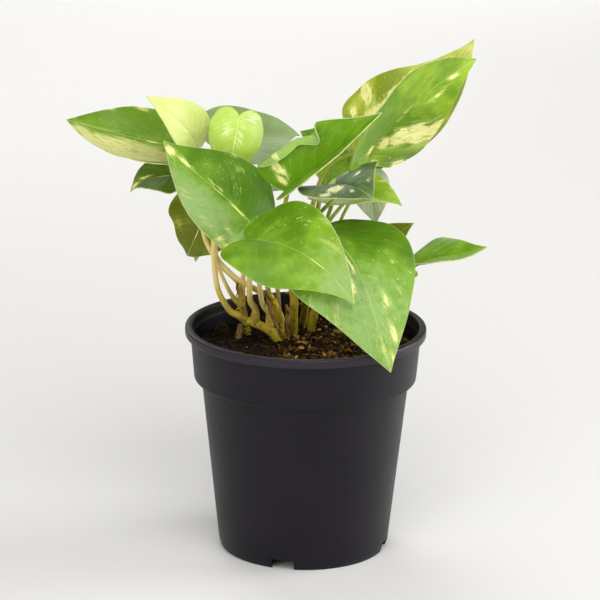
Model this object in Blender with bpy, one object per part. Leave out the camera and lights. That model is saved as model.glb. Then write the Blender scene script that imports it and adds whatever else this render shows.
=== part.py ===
"""Potted money plant in a nursery pot, seven rooted cuttings with twenty two leaves.

Blender works in metres with +Z up. The origin is the centre of the pot's underside, the floor is z = 0
and the front of the plant looks toward -Y. Sizes in the tables below are in millimetres and are
scaled by MM where they meet Blender.
"""
import math
from dataclasses import dataclass

import bmesh
import bpy
import numpy as np
from mathutils import Matrix, Vector, noise

MM = 0.001
GAP = 0.3                      # clearance between pieces that touch
SOIL_CLEAR = 0.6               # the soil's facets against the pot's, so that their gap stays
MERGE = 1e-6                   # merge distance in metres

# Pot
POT_HEIGHT = 114.4
LIP_RADIUS = 60.0
LIP_INNER_RADIUS = 56.3
LIP_HEIGHT = 4.5
COLLAR_TOP_RADIUS = 57.3
COLLAR_FOOT_RADIUS = 55.5
COLLAR_FOOT = 89.4             # height where the collar starts to turn in
STEP_HEIGHT = 87.2             # height of the step under the collar
BODY_TOP_RADIUS = 51.7
BODY_FOOT_RADIUS = 42.7
FOOT_RADIUS = 41.5
FOOT_RING_INNER = 39.6
WALL = 1.6
CHANNEL_INNER = 23.5
CHANNEL_HEIGHT = 6.0
BOSS_RADIUS = 22.0
FLOOR_THICKNESS = 1.5
POT_SEGMENTS = 52
NOTCH_COUNT = 4
NOTCH_WIDTH = 11.5
NOTCH_HEIGHT = 5.2
NOTCH_TURN = -14.0             # degrees from the front toward the left
DRAIN_COUNT = 8
DRAIN_RADIUS = 3.5
DRAIN_CIRCLE = 31.5

# Soil
SOIL_LEVEL = 102.4
SOIL_RINGS = 9
SOIL_SEGMENTS = 44
SOIL_LUMP = 1.5                # height of the uneven top
SOIL_PLACE = 11.0              # where the noise of the soil is read

# Stems and leaves
BLADE = 0.7                    # thickness of a blade
VINE_SIDES = 2                 # bevel resolution of the vines
PETIOLE_SIDES = 1              # bevel resolution of the petioles
KEEL_RUN = 0.34                # share of the midrib that the petiole runs on under the blade

# Half of a blade's outline, from the notch at the petiole round the lobe to the tip,
# as shares of the length and of half the width
HALF_OUTLINE = ((0.0, 0.0), (-0.07, 0.12), (-0.125, 0.36), (-0.10, 0.68), (0.04, 0.93), (0.22, 1.0),
                (0.42, 0.90), (0.60, 0.66), (0.76, 0.39), (0.90, 0.15), (1.0, 0.0))
RIB_START_POWER = 2.0


@dataclass(frozen=True)
class Vine:
    """One rooted cutting: points of its axis from the root up, and its radius."""
    name: str
    points: tuple
    radius: float
    colour: tuple = (0.46, 0.39, 0.11)


@dataclass(frozen=True)
class Leaf:
    """One leaf: blade attitude, size and the path of its petiole."""
    name: str
    vine: str
    node: float                # share of the vine's length where the petiole leaves, 1 is its end
    base: tuple                # end of the petiole, at the notch of the blade
    tip: tuple
    faces: tuple               # azimuth from the front toward the right, and elevation, of the upper side
    width: float
    lift: float = 15.0         # angles of the midrib against its chord, in degrees
    droop: float = 20.0
    sweep: float = 0.0
    twist: float = 0.0
    fold: tuple = (15.0, 15.0)     # rise of the left and right half at the midrib
    curl: tuple = (-10.0, -10.0)   # further turn of each half up to its margin
    roll: tuple = (0.0, 0.0)       # turn inside the band where a half rolls over
    roll_band: tuple = (0.4, 0.8)
    roll_fade: tuple = (0.5, 0.8)
    roll_slant: float = 0.0        # how far the band nears the midrib before the roll fades
    lobes: float = 1.0             # length of the lobes behind the notch, as a share of the usual
    wave: float = 0.8          # height of the margin's waves
    cycles: float = 2.5
    phase: float = 0.0
    leaves: tuple = (0.0, 0.0, 1.0)    # direction in which the petiole leaves the vine
    way: tuple = ()            # points that the petiole passes
    petiole: float = 1.25      # its radius
    skew: float = 0.0          # how much wider the left half is, as a share of half the width
    colour: tuple = (0.20, 0.42, 0.04)
    grid: tuple = (10, 3)      # cells round a half blade and from its midrib to its margin


SMALL = (8, 2)                 # cells of the small blades

VINES = (
    Vine("vine_left",
         ((-12.5, 12, 87), (-14, 11, 104), (-17, 10.5, 107.5), (-23, 9.8, 111), (-30, 9, 114)), 2.3),
    Vine("vine_centre",
         ((-10, 18, 87), (-10.5, 16.5, 104.5), (-12, 15.5, 110), (-14.5, 13.5, 118), (-17, 12.5, 124)), 2.2),
    Vine("vine_upright",
         ((-6, 25, 87), (-6, 23, 104.5), (-6, 22, 112), (-6, 20.5, 122), (-8, 18.5, 138), (-10, 16, 150)), 2.1),
    Vine("vine_right", ((2, 31, 87), (3, 29, 104.5), (4, 27.5, 111), (6, 23.5, 120), (8, 19, 134)), 2.1),
    Vine("vine_back", ((-1, 41, 87), (-1, 39, 104.5), (0, 37, 115), (2, 34.5, 128), (4, 32, 140)), 2.1),
    Vine("vine_far_left", ((-29, 22, 87), (-29.5, 21, 104.5), (-31, 20, 112), (-32.5, 18, 122)), 1.8),
    Vine("vine_far_right", ((17, 27, 87), (18, 27, 104.5), (21, 26, 111), (26, 24, 117)), 1.9),
)

LEAVES = (
    Leaf("leaf_far_left", "vine_left", 1.0, (-59, 28, 197.4), (-120, 26, 211.4), (-3, 30), 40, 21, 50, -13, -21,
         (22, -4), (54, -42), wave=0.6, lobes=0.2, leaves=(-0.8, -0.1, 0.6),
         way=((-38, 8, 119), (-44, 6, 131), (-46, 5, 151), (-45.5, 12, 173), (-50, 27, 188)), petiole=1.45,
         colour=(0.30, 0.45, 0.12)),
    Leaf("leaf_front_left", "vine_left", 0.86, (-27, -8, 168), (-70, -15, 211.5), (0, 46), 47, 17, -20, 0, -21,
         (7, 5), (5, -17), wave=0.9, leaves=(0.0, -0.1, 1.0),
         way=((-28, 6.2, 126), (-28.5, 2, 146)), petiole=1.5, colour=(0.19, 0.42, 0.09)),
    Leaf("leaf_front", "vine_left", 0.62, (-28, -26, 165), (23, -56, 142), (37, 55), 50, 31, 32, -4, 66,
         (0, 14), (32, -40), wave=0.7, leaves=(-0.1, 0.1, 1.0),
         way=((-22, 7, 124), (-24, -6, 142)), petiole=1.35, colour=(0.27, 0.49, 0.06)),
    Leaf("leaf_lime", "vine_centre", 1.0, (-34, 14, 217), (-40, 12, 182.3), (0, 6), 31.5,
         35, 10, 0, 0, (5, 5), (-62, -62), wave=0.5, leaves=(-0.85, -0.2, 0.4),
         way=((-26, 10, 130), (-37, 8.5, 137.5), (-45.5, 10, 149), (-40.5, 10, 167), (-37, 20, 200)),
         petiole=1.3, colour=(0.46, 0.62, 0.10), grid=SMALL),
    Leaf("leaf_low_left", "vine_centre", 0.74, (-50, 24, 169), (-60, 33, 140), (-19, 20), 39, 11, 26,
         -10, -3, (12, 12), (-13, -25), wave=1.2, cycles=3.5, leaves=(-0.5, 0.5, 0.7),
         way=((-22, 24, 134), (-36, 33, 147)), petiole=1.2, colour=(0.12, 0.17, 0.02)),
    Leaf("leaf_back_left", "vine_centre", 0.52, (-21, 46, 171), (-38, 88, 149), (200, 55), 46, 20, 30,
         0, 8, (14, 14), (-14, -18), leaves=(-0.3, 0.9, 0.6),
         way=((-14, 24, 122), (-17, 33, 148)), petiole=1.2, colour=(0.22, 0.40, 0.06)),
    Leaf("leaf_rolled", "vine_upright", 1.0, (-11, -4, 184), (36, -8, 225), (0, 16), 41, 12, -8, 4, 0,
         (24, 80), (0, 0), (174, 0), (0.65, 0.79), (0.47, 0.57), wave=0.3, leaves=(-0.1, -0.3, 1.0),
         way=((-12, 8, 166),), petiole=1.25, skew=0.36, roll_slant=0.14, lobes=0.35, grid=(16, 6),
         colour=(0.22, 0.43, 0.03)),
    Leaf("leaf_behind_left", "vine_upright", 0.60, (-43, 40, 193), (-4, 66, 195), (-9, 62), 52, -4, 26, -8, 3,
         (18, 22), (-8, -20), leaves=(-0.3, 0.5, 0.8),
         way=((-8, 27, 136), (-20, 31, 160), (-36, 35, 178)), petiole=1.2, colour=(0.33, 0.48, 0.22)),
    Leaf("leaf_grey", "vine_upright", 0.82, (14, -3, 187.3), (32, -24, 185.3), (23, 61), 45, 22, 40, 14, 16,
         (31, 9), (-44, -4), wave=0.5, leaves=(0.3, 0.2, 1.0),
         way=((-2, 13, 152), (3, 3, 167), (9, -8, 177)), petiole=1.15, lobes=2.8, colour=(0.13, 0.20, 0.10)),
    Leaf("leaf_front_right", "vine_right", 1.0, (9, -18, 166), (41, -60, 109), (35, 25), 70, 42, 2, -7, 17,
         (-10, -20), (14, 12), wave=1.1, leaves=(0.0, -0.5, 0.9),
         way=((8, 10, 144),), petiole=1.45, colour=(0.15, 0.34, 0.05)),
    Leaf("leaf_right", "vine_right", 0.80, (11, 20.6, 175.3), (47, 8.6, 173.8), (13, 68), 38, 17, 45, 12, 14,
         (14, 34), (-4, -24), wave=0.7, leaves=(0.5, 0.3, 0.9),
         way=((12, 22, 142), (10, 23, 160)), petiole=1.2, colour=(0.26, 0.44, 0.05)),
    Leaf("leaf_hanging", "vine_right", 0.62, (31, 51, 178), (35, 50, 153), (0, 20), 20, 20, 20, 0, 0,
         (10, 10), (-12, -12), wave=0.5, leaves=(0.8, 0.4, 0.6),
         way=((10, 31, 135), (18, 39, 160)), petiole=1.0, colour=(0.30, 0.48, 0.25), grid=SMALL),
    Leaf("leaf_upper_right", "vine_back", 1.0, (30, 34, 190), (84, 48, 240), (52, 11), 60, 4, 22, -33, -34,
         (29, -3), (30, -19), wave=1.0, leaves=(0.2, -0.4, 0.9),
         way=((2, 38, 160), (8, 44, 180), (18, 44, 189)), petiole=1.35, skew=0.13, lobes=0.2,
         colour=(0.24, 0.44, 0.05)),
    Leaf("leaf_top_right", "vine_back", 0.88, (27, 57, 202), (84, 73, 245), (-20, 14), 45, 25, 13, 26, 3,
         (-10, -8), (2, -15), wave=1.0, leaves=(0.1, 0.3, 1.0),
         way=((5, 42, 160), (12, 52, 185)), petiole=1.3, colour=(0.36, 0.42, 0.07)),
    Leaf("leaf_behind", "vine_back", 0.70, (30, 63, 176), (-4, 80, 194), (0, 38), 46, 8, 10, 0, 0,
         (14, 14), (-12, -12), leaves=(0.4, 0.3, 0.9),
         way=((8, 44, 150), (20, 56, 164)), petiole=1.1, skew=-0.15, colour=(0.25, 0.42, 0.10), grid=SMALL),
    Leaf("leaf_back", "vine_back", 0.56, (-14, 50, 150), (-22, 92, 112), (190, 40), 46, 25, 25, 0, 0,
         (12, 12), (-10, -16), leaves=(-0.2, 0.8, 0.7),
         way=((-6, 45, 132),), petiole=1.2, colour=(0.20, 0.38, 0.04)),
    Leaf("leaf_upper_left", "vine_far_left", 1.0, (-55, 12, 201.6), (-79, -7, 231.7), (25, 39), 30, 30, 22,
         -1, 4, (5, 13), (-4, -1), wave=0.4, leaves=(-0.1, -0.1, 1.0),
         way=((-34.5, 15, 132), (-44, 14, 142), (-51, 12, 156), (-52, 6.5, 172),
              (-50.5, 4, 185), (-51, 6, 195)), petiole=1.1, colour=(0.56, 0.64, 0.14), grid=SMALL),
    Leaf("leaf_left", "vine_far_left", 0.86, (-65, 20, 185), (-88, 21, 176), (-4, 59), 28, 15, 34, 17, 15,
         (20, 17), (-27, -14), wave=0.5, leaves=(-0.7, 0.4, 0.7),
         way=((-42, 28, 130), (-51, 36.5, 150), (-63, 38, 172)), petiole=1.0, grid=SMALL,
         colour=(0.11, 0.20, 0.03)),
    Leaf("leaf_low_back_left", "vine_far_left", 0.72, (-34, 46, 156), (-58, 86, 122), (205, 45), 42, 22, 28,
         0, -6, (12, 12), (-12, -12), leaves=(-0.1, 0.9, 0.6),
         way=((-32, 34, 135),), petiole=1.2, colour=(0.24, 0.43, 0.07)),
    Leaf("leaf_low_right", "vine_far_right", 1.0, (51, 15, 140), (89, -1, 156), (2, 62), 33, 22, -8, 3, 21,
         (5, 27), (-33, 34), wave=0.5, leaves=(0.8, -0.1, 0.6),
         way=((38, 20, 128),), petiole=1.05, colour=(0.24, 0.45, 0.02), grid=SMALL),
    Leaf("leaf_right_behind", "vine_far_right", 0.86, (39, 34, 147), (54, 32, 159), (10, 45), 15, 12, 10, 0, 0,
         (14, 14), (-10, -10), wave=0.3, leaves=(0.5, 0.6, 0.6),
         way=((31, 32, 128),), petiole=0.9, colour=(0.14, 0.22, 0.02), grid=SMALL),
    Leaf("leaf_low_back_right", "vine_far_right", 0.70, (21, 48, 142), (48, 86, 110), (150, 45), 44, 22, 26,
         0, 6, (13, 13), (-12, -14), leaves=(0.0, 0.9, 0.6),
         way=((22, 36, 126),), petiole=1.2, colour=(0.22, 0.42, 0.06)),
)


def unit(vectors):
    """Vectors scaled to length one."""
    return vectors / np.linalg.norm(vectors, axis=-1, keepdims=True)


def smooth_step(x):
    """Smooth ramp from 0 to 1."""
    x = np.clip(x, 0.0, 1.0)
    return x * x * (3.0 - 2.0 * x)


def spline(points, count):
    """Smooth curve through the points, as count points spaced evenly along it."""
    p = np.asarray(points, float)
    q = np.vstack([2 * p[0] - p[1], p, 2 * p[-1] - p[-2]])
    runs = []
    for i in range(1, len(q) - 2):
        t = np.linspace(0.0, 1.0, 24, endpoint=False)[:, None]
        a, b, c, d = q[i - 1], q[i], q[i + 1], q[i + 2]
        cubic = 2 * b + (c - a) * t + (2 * a - 5 * b + 4 * c - d) * t**2 + (3 * b - a - 3 * c + d) * t**3
        runs.append(0.5 * cubic)
    runs = np.vstack(runs + [p[-1:]])
    length = np.concatenate([[0.0], np.cumsum(np.linalg.norm(np.diff(runs, axis=0), axis=1))])
    at = np.linspace(0.0, length[-1], count)
    return np.stack([np.interp(at, length, runs[:, k]) for k in range(runs.shape[1])], -1)


def heading(azimuth, elevation):
    """Unit vector from the azimuth, 0 at the front and positive to the right, and the elevation."""
    a, e = math.radians(azimuth), math.radians(elevation)
    return np.array([math.sin(a) * math.cos(e), -math.cos(a) * math.cos(e), math.sin(e)])


def midrib(leaf, s):
    """Points, tangents, normals and right hand sides of the blade at the shares s of its midrib."""
    base, tip = np.array(leaf.base, float), np.array(leaf.tip, float)
    span = np.linalg.norm(tip - base)
    chord = (tip - base) / span
    up = heading(*leaf.faces)
    up = unit(up - chord * (up @ chord))
    across = np.cross(chord, up)
    lift, droop, sweep = np.radians([leaf.lift, leaf.droop, leaf.sweep])
    start = unit(chord * np.cos(lift) + up * np.sin(lift) + across * np.sin(sweep))
    end = unit(chord * np.cos(droop) - up * np.sin(droop) - across * np.sin(sweep))
    p1, p2 = base + start * span * 0.36, tip - end * span * 0.36
    t = np.asarray(s, float)[..., None]
    points = (1 - t)**3 * base + 3 * (1 - t)**2 * t * p1 + 3 * (1 - t) * t * t * p2 + t**3 * tip
    along = unit(3 * (1 - t)**2 * (p1 - base) + 6 * (1 - t) * t * (p2 - p1) + 3 * t * t * (tip - p2))
    normal = unit(up - along * (along @ up)[..., None])
    side = np.cross(along, normal)
    turn = np.radians(leaf.twist) * t
    return (points, along, normal * np.cos(turn) + side * np.sin(turn),
            side * np.cos(turn) - normal * np.sin(turn), span)


def blade_points(leaf, t, w, sign):
    """Points of a half blade: t runs round its margin, w from midrib to margin, sign is +1 on the right."""
    t, w = np.broadcast_arrays(np.asarray(t, float), np.asarray(w, float))
    span = float(np.linalg.norm(np.array(leaf.tip, float) - np.array(leaf.base, float)))
    half = leaf.width / 2 * (1.0 - leaf.skew * sign)
    outline = np.array(HALF_OUTLINE)
    outline[:, 0] = np.where(outline[:, 0] < 0.0, outline[:, 0] * leaf.lobes, outline[:, 0])
    edge = spline(outline * np.array([span, half]), 257)
    at = np.linspace(0.0, 1.0, 257)
    rib = span * t**RIB_START_POWER
    x = rib + (np.interp(t, at, edge[:, 0]) - rib) * w
    d = np.interp(t, at, edge[:, 1]) * w
    s = np.clip(x / span, 0.0, 1.0)
    points, along, normal, side, _ = midrib(leaf, s)
    k = 0 if sign < 0 else 1
    steps = 24
    out = d[..., None] * (np.arange(steps) + 0.5) / steps / half
    fade = 1.0 - smooth_step((s - leaf.roll_fade[0]) / (leaf.roll_fade[1] - leaf.roll_fade[0]))
    slant = leaf.roll_slant * smooth_step((s - leaf.roll_fade[0]) / 0.15 + 1.0)
    band = smooth_step((out - leaf.roll_band[0] + slant[..., None]) / (leaf.roll_band[1] - leaf.roll_band[0]))
    angle = np.radians(leaf.fold[k] + leaf.curl[k] * out + leaf.roll[k] * fade[..., None] * band)
    sideways = np.cos(angle).sum(-1) * d / steps
    rise = np.sin(angle).sum(-1) * d / steps
    ripple = np.sin(2 * np.pi * (leaf.cycles * t + leaf.phase + 0.37 * k)) * w**2 * np.sin(np.pi * t)
    rise = rise + leaf.wave * ripple
    return (points + along * (x - s * span)[..., None] + side * (sign * sideways)[..., None]
            + normal * rise[..., None])


def link(name, mesh):
    """Object in the scene for a mesh."""
    obj = bpy.data.objects.new(name, mesh)
    bpy.context.scene.collection.objects.link(obj)
    return obj


def from_bmesh(name, bm):
    """Object from a bmesh, which is freed."""
    mesh = bpy.data.meshes.new(name)
    bm.to_mesh(mesh)
    bm.free()
    return link(name, mesh)


def as_guide(obj):
    """Marks an operand that isn't part of the model."""
    obj.hide_render = True
    obj.display_type = "WIRE"
    return obj


def boolean(obj, other, operation):
    """Boolean modifier on obj with other as its operand."""
    mod = obj.modifiers.new(other.name, "BOOLEAN")
    mod.operation = operation
    mod.solver = "EXACT"
    mod.object = other
    return mod


def settle(obj):
    """Applies the modifiers, drops their operands and splits the faces into clean triangles."""
    mesh = bpy.data.meshes.new_from_object(obj.evaluated_get(bpy.context.evaluated_depsgraph_get()))
    operands = [mod.object for mod in obj.modifiers if mod.type == "BOOLEAN"]
    obj.modifiers.clear()
    obj.data = mesh
    for other in operands:
        bpy.data.objects.remove(other)
    bm = bmesh.new()
    bm.from_mesh(mesh)
    bmesh.ops.remove_doubles(bm, verts=bm.verts, dist=MERGE)
    bmesh.ops.dissolve_verts(bm, verts=[vert for vert in bm.verts if len(vert.link_edges) == 2])
    bmesh.ops.triangulate(bm, faces=bm.faces)
    bm.to_mesh(mesh)
    bm.free()


def dress(obj, colour, roughness, sharp=35.0):
    """Smooth shading and the piece's own material."""
    obj.data.shade_smooth()
    obj.data.set_sharp_from_angle(angle=math.radians(sharp))
    mat = bpy.data.materials.new(obj.name)
    mat.use_nodes = True
    shader = mat.node_tree.nodes["Principled BSDF"]
    shader.inputs["Base Color"].default_value = (*colour, 1.0)
    shader.inputs["Roughness"].default_value = roughness
    shader.inputs["Metallic"].default_value = 0.0
    mat.diffuse_color = (*colour, 1.0)
    obj.data.materials.clear()
    obj.data.materials.append(mat)


def tube(name, points, radii, resolution):
    """Closed tube along the points in millimetres, with a radius at each."""
    curve = bpy.data.curves.new(name, "CURVE")
    curve.dimensions = "3D"
    curve.bevel_depth = MM
    curve.bevel_resolution = resolution
    curve.use_fill_caps = True
    line = curve.splines.new("POLY")
    line.points.add(len(points) - 1)
    for point, place, radius in zip(line.points, points, radii):
        point.co = (*(float(v) * MM for v in place), 1.0)
        point.radius = float(radius)
    guide = link(name + "_path", curve)
    mesh = bpy.data.meshes.new_from_object(guide.evaluated_get(bpy.context.evaluated_depsgraph_get()))
    bpy.data.objects.remove(guide)
    bm = bmesh.new()
    bm.from_mesh(mesh)
    bpy.data.meshes.remove(mesh)
    bmesh.ops.remove_doubles(bm, verts=bm.verts, dist=MERGE)
    bmesh.ops.recalc_face_normals(bm, faces=bm.faces)
    return from_bmesh(name, bm)


def turned(name, profile, segments):
    """Solid of revolution from a profile of (radius, height) that starts and ends on the axis."""
    bm = bmesh.new()
    verts = [bm.verts.new((r * MM, 0.0, z * MM)) for r, z in profile]
    edges = [bm.edges.new(pair) for pair in zip(verts, verts[1:])]
    bmesh.ops.spin(bm, geom=verts + edges, axis=(0, 0, 1), cent=(0, 0, 0), angle=math.tau,
                   steps=segments, use_merge=True)
    bmesh.ops.remove_doubles(bm, verts=bm.verts, dist=MERGE)
    bmesh.ops.recalc_face_normals(bm, faces=bm.faces)
    return from_bmesh(name, bm)


def cylinder_cutter(name, start, end, radius, sides=10):
    """Cylinder whose flats lie at the radius, between two points in millimetres."""
    start, end = Vector(start) * MM, Vector(end) * MM
    bm = bmesh.new()
    reach = radius * MM / math.cos(math.pi / sides)
    bmesh.ops.create_cone(bm, cap_ends=True, segments=sides, radius1=reach, radius2=reach,
                          depth=(end - start).length)
    turn = (end - start).to_track_quat("Z", "Y").to_matrix().to_4x4()
    bmesh.ops.transform(bm, matrix=Matrix.Translation((start + end) / 2) @ turn, verts=bm.verts)
    return as_guide(from_bmesh(name, bm))


def pot_inner(height):
    """Radius of the pot's inside at a height in the body or the collar."""
    if height > COLLAR_FOOT:
        share = (height - COLLAR_FOOT) / (POT_HEIGHT - LIP_HEIGHT - COLLAR_FOOT)
        return COLLAR_FOOT_RADIUS + share * (COLLAR_TOP_RADIUS - COLLAR_FOOT_RADIUS) - WALL
    share = height / (STEP_HEIGHT - 1.0)
    return BODY_FOOT_RADIUS + share * (BODY_TOP_RADIUS - BODY_FOOT_RADIUS) - WALL


def make_pot():
    """Nursery pot: rolled lip, stepped collar, tapered body, notched foot ring and drained floor."""
    top, lip = POT_HEIGHT, POT_HEIGHT - LIP_HEIGHT
    floor = CHANNEL_HEIGHT + FLOOR_THICKNESS
    outside = [
        (0.0, 0.0), (BOSS_RADIUS, 0.0), (CHANNEL_INNER, CHANNEL_HEIGHT),
        (FOOT_RING_INNER - 0.4, CHANNEL_HEIGHT), (FOOT_RING_INNER, 0.0), (FOOT_RADIUS - 0.5, 0.0),
        (FOOT_RADIUS + 0.4, 0.9), (BODY_FOOT_RADIUS, 3.4), (BODY_TOP_RADIUS, STEP_HEIGHT - 0.4),
        (BODY_TOP_RADIUS + 0.6, STEP_HEIGHT), (COLLAR_FOOT_RADIUS - 1.2, STEP_HEIGHT + 0.5),
        (COLLAR_FOOT_RADIUS - 0.3, STEP_HEIGHT + 1.2), (COLLAR_FOOT_RADIUS, COLLAR_FOOT),
        (COLLAR_TOP_RADIUS, lip - 0.2), (LIP_RADIUS - 0.7, lip + 0.1), (LIP_RADIUS, lip + 0.8),
        (LIP_RADIUS, top - 0.9), (LIP_RADIUS - 0.8, top),
    ]
    inside = [
        (LIP_INNER_RADIUS + 0.8, top), (LIP_INNER_RADIUS, top - 0.6), (LIP_INNER_RADIUS - 0.1, lip - 0.1),
        (COLLAR_TOP_RADIUS - WALL, lip - 0.8), (pot_inner(COLLAR_FOOT + 0.1), COLLAR_FOOT + 0.1),
        (pot_inner(STEP_HEIGHT - 2.0), STEP_HEIGHT - 2.0), (pot_inner(floor + 1.0), floor + 1.0),
        (pot_inner(floor) - 1.0, floor), (CHANNEL_INNER - 0.6, floor), (BOSS_RADIUS - 0.9, FLOOR_THICKNESS),
        (0.0, FLOOR_THICKNESS),
    ]
    pot = turned("pot", outside + inside, POT_SEGMENTS)
    for i in range(NOTCH_COUNT):
        turn = math.radians(NOTCH_TURN + 90.0 * i - 90.0)
        bm = bmesh.new()
        bmesh.ops.create_cube(bm, size=1.0)
        place = (Matrix.Rotation(turn, 4, "Z") @ Matrix.Translation((41.5 * MM, 0, NOTCH_HEIGHT / 2 * MM - MM))
                 @ Matrix.Diagonal((9.0 * MM, NOTCH_WIDTH * MM, (NOTCH_HEIGHT + 2.0) * MM, 1.0)))
        bmesh.ops.transform(bm, matrix=place, verts=bm.verts)
        boolean(pot, as_guide(from_bmesh(f"notch_{i + 1}", bm)), "DIFFERENCE")
    for i in range(DRAIN_COUNT):
        a = math.tau * (i + 0.5) / DRAIN_COUNT
        x, y = DRAIN_CIRCLE * math.cos(a), DRAIN_CIRCLE * math.sin(a)
        drain = cylinder_cutter(f"drain_{i + 1}", (x, y, 3.0), (x, y, floor + 3.0), DRAIN_RADIUS)
        boolean(pot, drain, "DIFFERENCE")
    settle(pot)
    dress(pot, (0.018, 0.018, 0.020), 0.42, sharp=28.0)


def soil_height(x, y):
    """Height of the soil's uneven top over the place (x, y)."""
    broad = noise.noise(Vector((x * 0.045, y * 0.045, SOIL_PLACE)))
    lumps = noise.noise(Vector((x * 0.16, y * 0.16, SOIL_PLACE + 7.0)))
    edge = 1.0 - 0.6 * smooth_step((math.hypot(x, y) - 44.0) / 9.0)
    return SOIL_LEVEL + SOIL_LUMP * float(edge) * (0.9 * broad + 0.9 * lumps)


def make_soil():
    """Potting mix that fills the pot, with an uneven top and plain holes for the cuttings."""
    floor = CHANNEL_HEIGHT + FLOOR_THICKNESS + GAP
    rim = pot_inner(SOIL_LEVEL) - SOIL_CLEAR
    profile = [
        (0.0, FLOOR_THICKNESS + GAP), (BOSS_RADIUS - 1.3, FLOOR_THICKNESS + GAP), (CHANNEL_INNER - 1.0, floor),
        (pot_inner(floor) - 1.4 - GAP, floor), (pot_inner(floor + 1.0) - SOIL_CLEAR, floor + 1.0),
        (pot_inner(STEP_HEIGHT - 2.0) - SOIL_CLEAR, STEP_HEIGHT - 2.2),
        (pot_inner(COLLAR_FOOT + 0.1) - SOIL_CLEAR, COLLAR_FOOT + 0.4), (rim, SOIL_LEVEL),
    ]
    profile += [(rim * (1 - (i + 1) / SOIL_RINGS), SOIL_LEVEL) for i in range(SOIL_RINGS)]
    soil = turned("soil", profile, SOIL_SEGMENTS)
    for vert in soil.data.vertices:
        if vert.co.z > (SOIL_LEVEL - 0.01) * MM:
            vert.co.z = soil_height(vert.co.x / MM, vert.co.y / MM) * MM
    for vine in VINES:
        foot, level = np.array(vine.points[0], float), np.array(vine.points[1], float)
        way = unit(level - foot)
        hole = cylinder_cutter("hole_" + vine.name, foot - way * GAP, level + way * 5.0, vine.radius + GAP)
        boolean(soil, hole, "DIFFERENCE")
    settle(soil)
    dress(soil, (0.035, 0.022, 0.012), 0.95)


def vine_axis(vine):
    """Axis of a cutting, with its buried run straight."""
    above = spline(vine.points[1:], 3 * len(vine.points))
    return np.vstack([np.array(vine.points[0], float), above])


def vine_at(vine, share):
    """Point and direction of a cutting at a share of its length."""
    axis = vine_axis(vine)
    steps = np.diff(axis, axis=0)
    run = np.concatenate([[0.0], np.cumsum(np.linalg.norm(steps, axis=1))])
    place = np.array([np.interp(share * run[-1], run, axis[:, k]) for k in range(3)])
    index = min(int(np.searchsorted(run, share * run[-1] - 1e-6)), len(steps)) - 1
    return place, unit(steps[max(index, 0)])


def make_vine(vine):
    """Cutting with swollen nodes where the petioles leave it."""
    axis = vine_axis(vine)
    length = np.concatenate([[0.0], np.cumsum(np.linalg.norm(np.diff(axis, axis=0), axis=1))])
    share = length / length[-1]
    radius = np.full(len(axis), vine.radius)
    radius[2:] *= 1.0 - 0.12 * (share[2:] - share[2]) / (1.0 - share[2])
    obj = tube(vine.name, axis, radius, VINE_SIDES)
    dress(obj, vine.colour, 0.5, sharp=50.0)


def petiole_path(leaf):
    """Points and radii of a petiole, from its seat on the cutting on under the blade's midrib."""
    vine = next(v for v in VINES if v.name == leaf.vine)
    place, along = vine_at(vine, leaf.node)
    way = unit(np.array(leaf.leaves, float))
    lean = abs(float(way @ along))
    sine = max(math.sqrt(max(1.0 - lean * lean, 0.0)), 0.2)
    seat_radius = leaf.petiole * 1.2
    if leaf.node >= 1.0:
        start = place + along * (GAP + 0.2 + seat_radius * sine)
    else:
        start = place + way * (vine.radius + GAP + 0.2 + seat_radius * lean) / sine
    shares = np.array([0.02, 0.12, 0.23, KEEL_RUN])
    points, tangents, normals, _, _ = midrib(leaf, shares)
    end_radii = leaf.petiole * np.array([0.86, 0.66, 0.50, 0.34])
    under = points - normals * (end_radii - BLADE * 0.35)[:, None]
    base, tangent, normal = points[0], tangents[0], normals[0]
    reach = leaf.petiole
    near = [base - (normal * 5.2 + tangent * 1.7) * reach, base - (normal * 2.2 + tangent * 1.1) * reach]
    knots = [start, start + way * 4.0, *[np.array(p, float) for p in leaf.way], *near]
    path = spline(knots, max(8, int(np.linalg.norm(near[0] - start) / 7.5)))
    share = np.linspace(0.0, 1.0, len(path))
    radii = leaf.petiole * (1.0 + 0.2 * (1.0 - smooth_step(share / 0.25)) - 0.14 * smooth_step(share))
    return np.vstack([path, under]), np.concatenate([radii, end_radii])


def make_leaf(leaf):
    """Leaf with its petiole: a blade with lobes, midrib valley and waved margin on a tapered stalk."""
    around, across = leaf.grid
    bm = bmesh.new()
    bmesh.ops.create_grid(bm, x_segments=around, y_segments=2 * across, size=1.0)
    for vert in bm.verts:
        t, v = (vert.co.x + 1.0) / 2.0, vert.co.y
        sign = -1 if v < -1e-9 else 1
        place = blade_points(leaf, t, abs(v) ** 0.85, sign)
        vert.co = Vector(place) * MM
    bmesh.ops.remove_doubles(bm, verts=bm.verts, dist=MERGE * 20)
    bmesh.ops.triangulate(bm, faces=bm.faces)
    _, _, normals, _, _ = midrib(leaf, np.array([0.5]))
    if sum((face.normal * face.calc_area() for face in bm.faces), Vector()).dot(Vector(normals[0])) < 0:
        bmesh.ops.reverse_faces(bm, faces=bm.faces)
    obj = from_bmesh(leaf.name, bm)
    solid = obj.modifiers.new("thickness", "SOLIDIFY")
    solid.thickness = BLADE * MM
    solid.offset = 0.0
    path, radii = petiole_path(leaf)
    stalk = as_guide(tube(leaf.name + "_petiole", path, radii, PETIOLE_SIDES))
    boolean(obj, stalk, "UNION")
    settle(obj)
    dress(obj, leaf.colour, 0.38, sharp=60.0)


def main():
    """Builds the pot, its soil, the cuttings and their leaves."""
    for obj in list(bpy.data.objects):
        bpy.data.objects.remove(obj)
    make_pot()
    make_soil()
    for vine in VINES:
        make_vine(vine)
    for leaf in LEAVES:
        make_leaf(leaf)


main()
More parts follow.
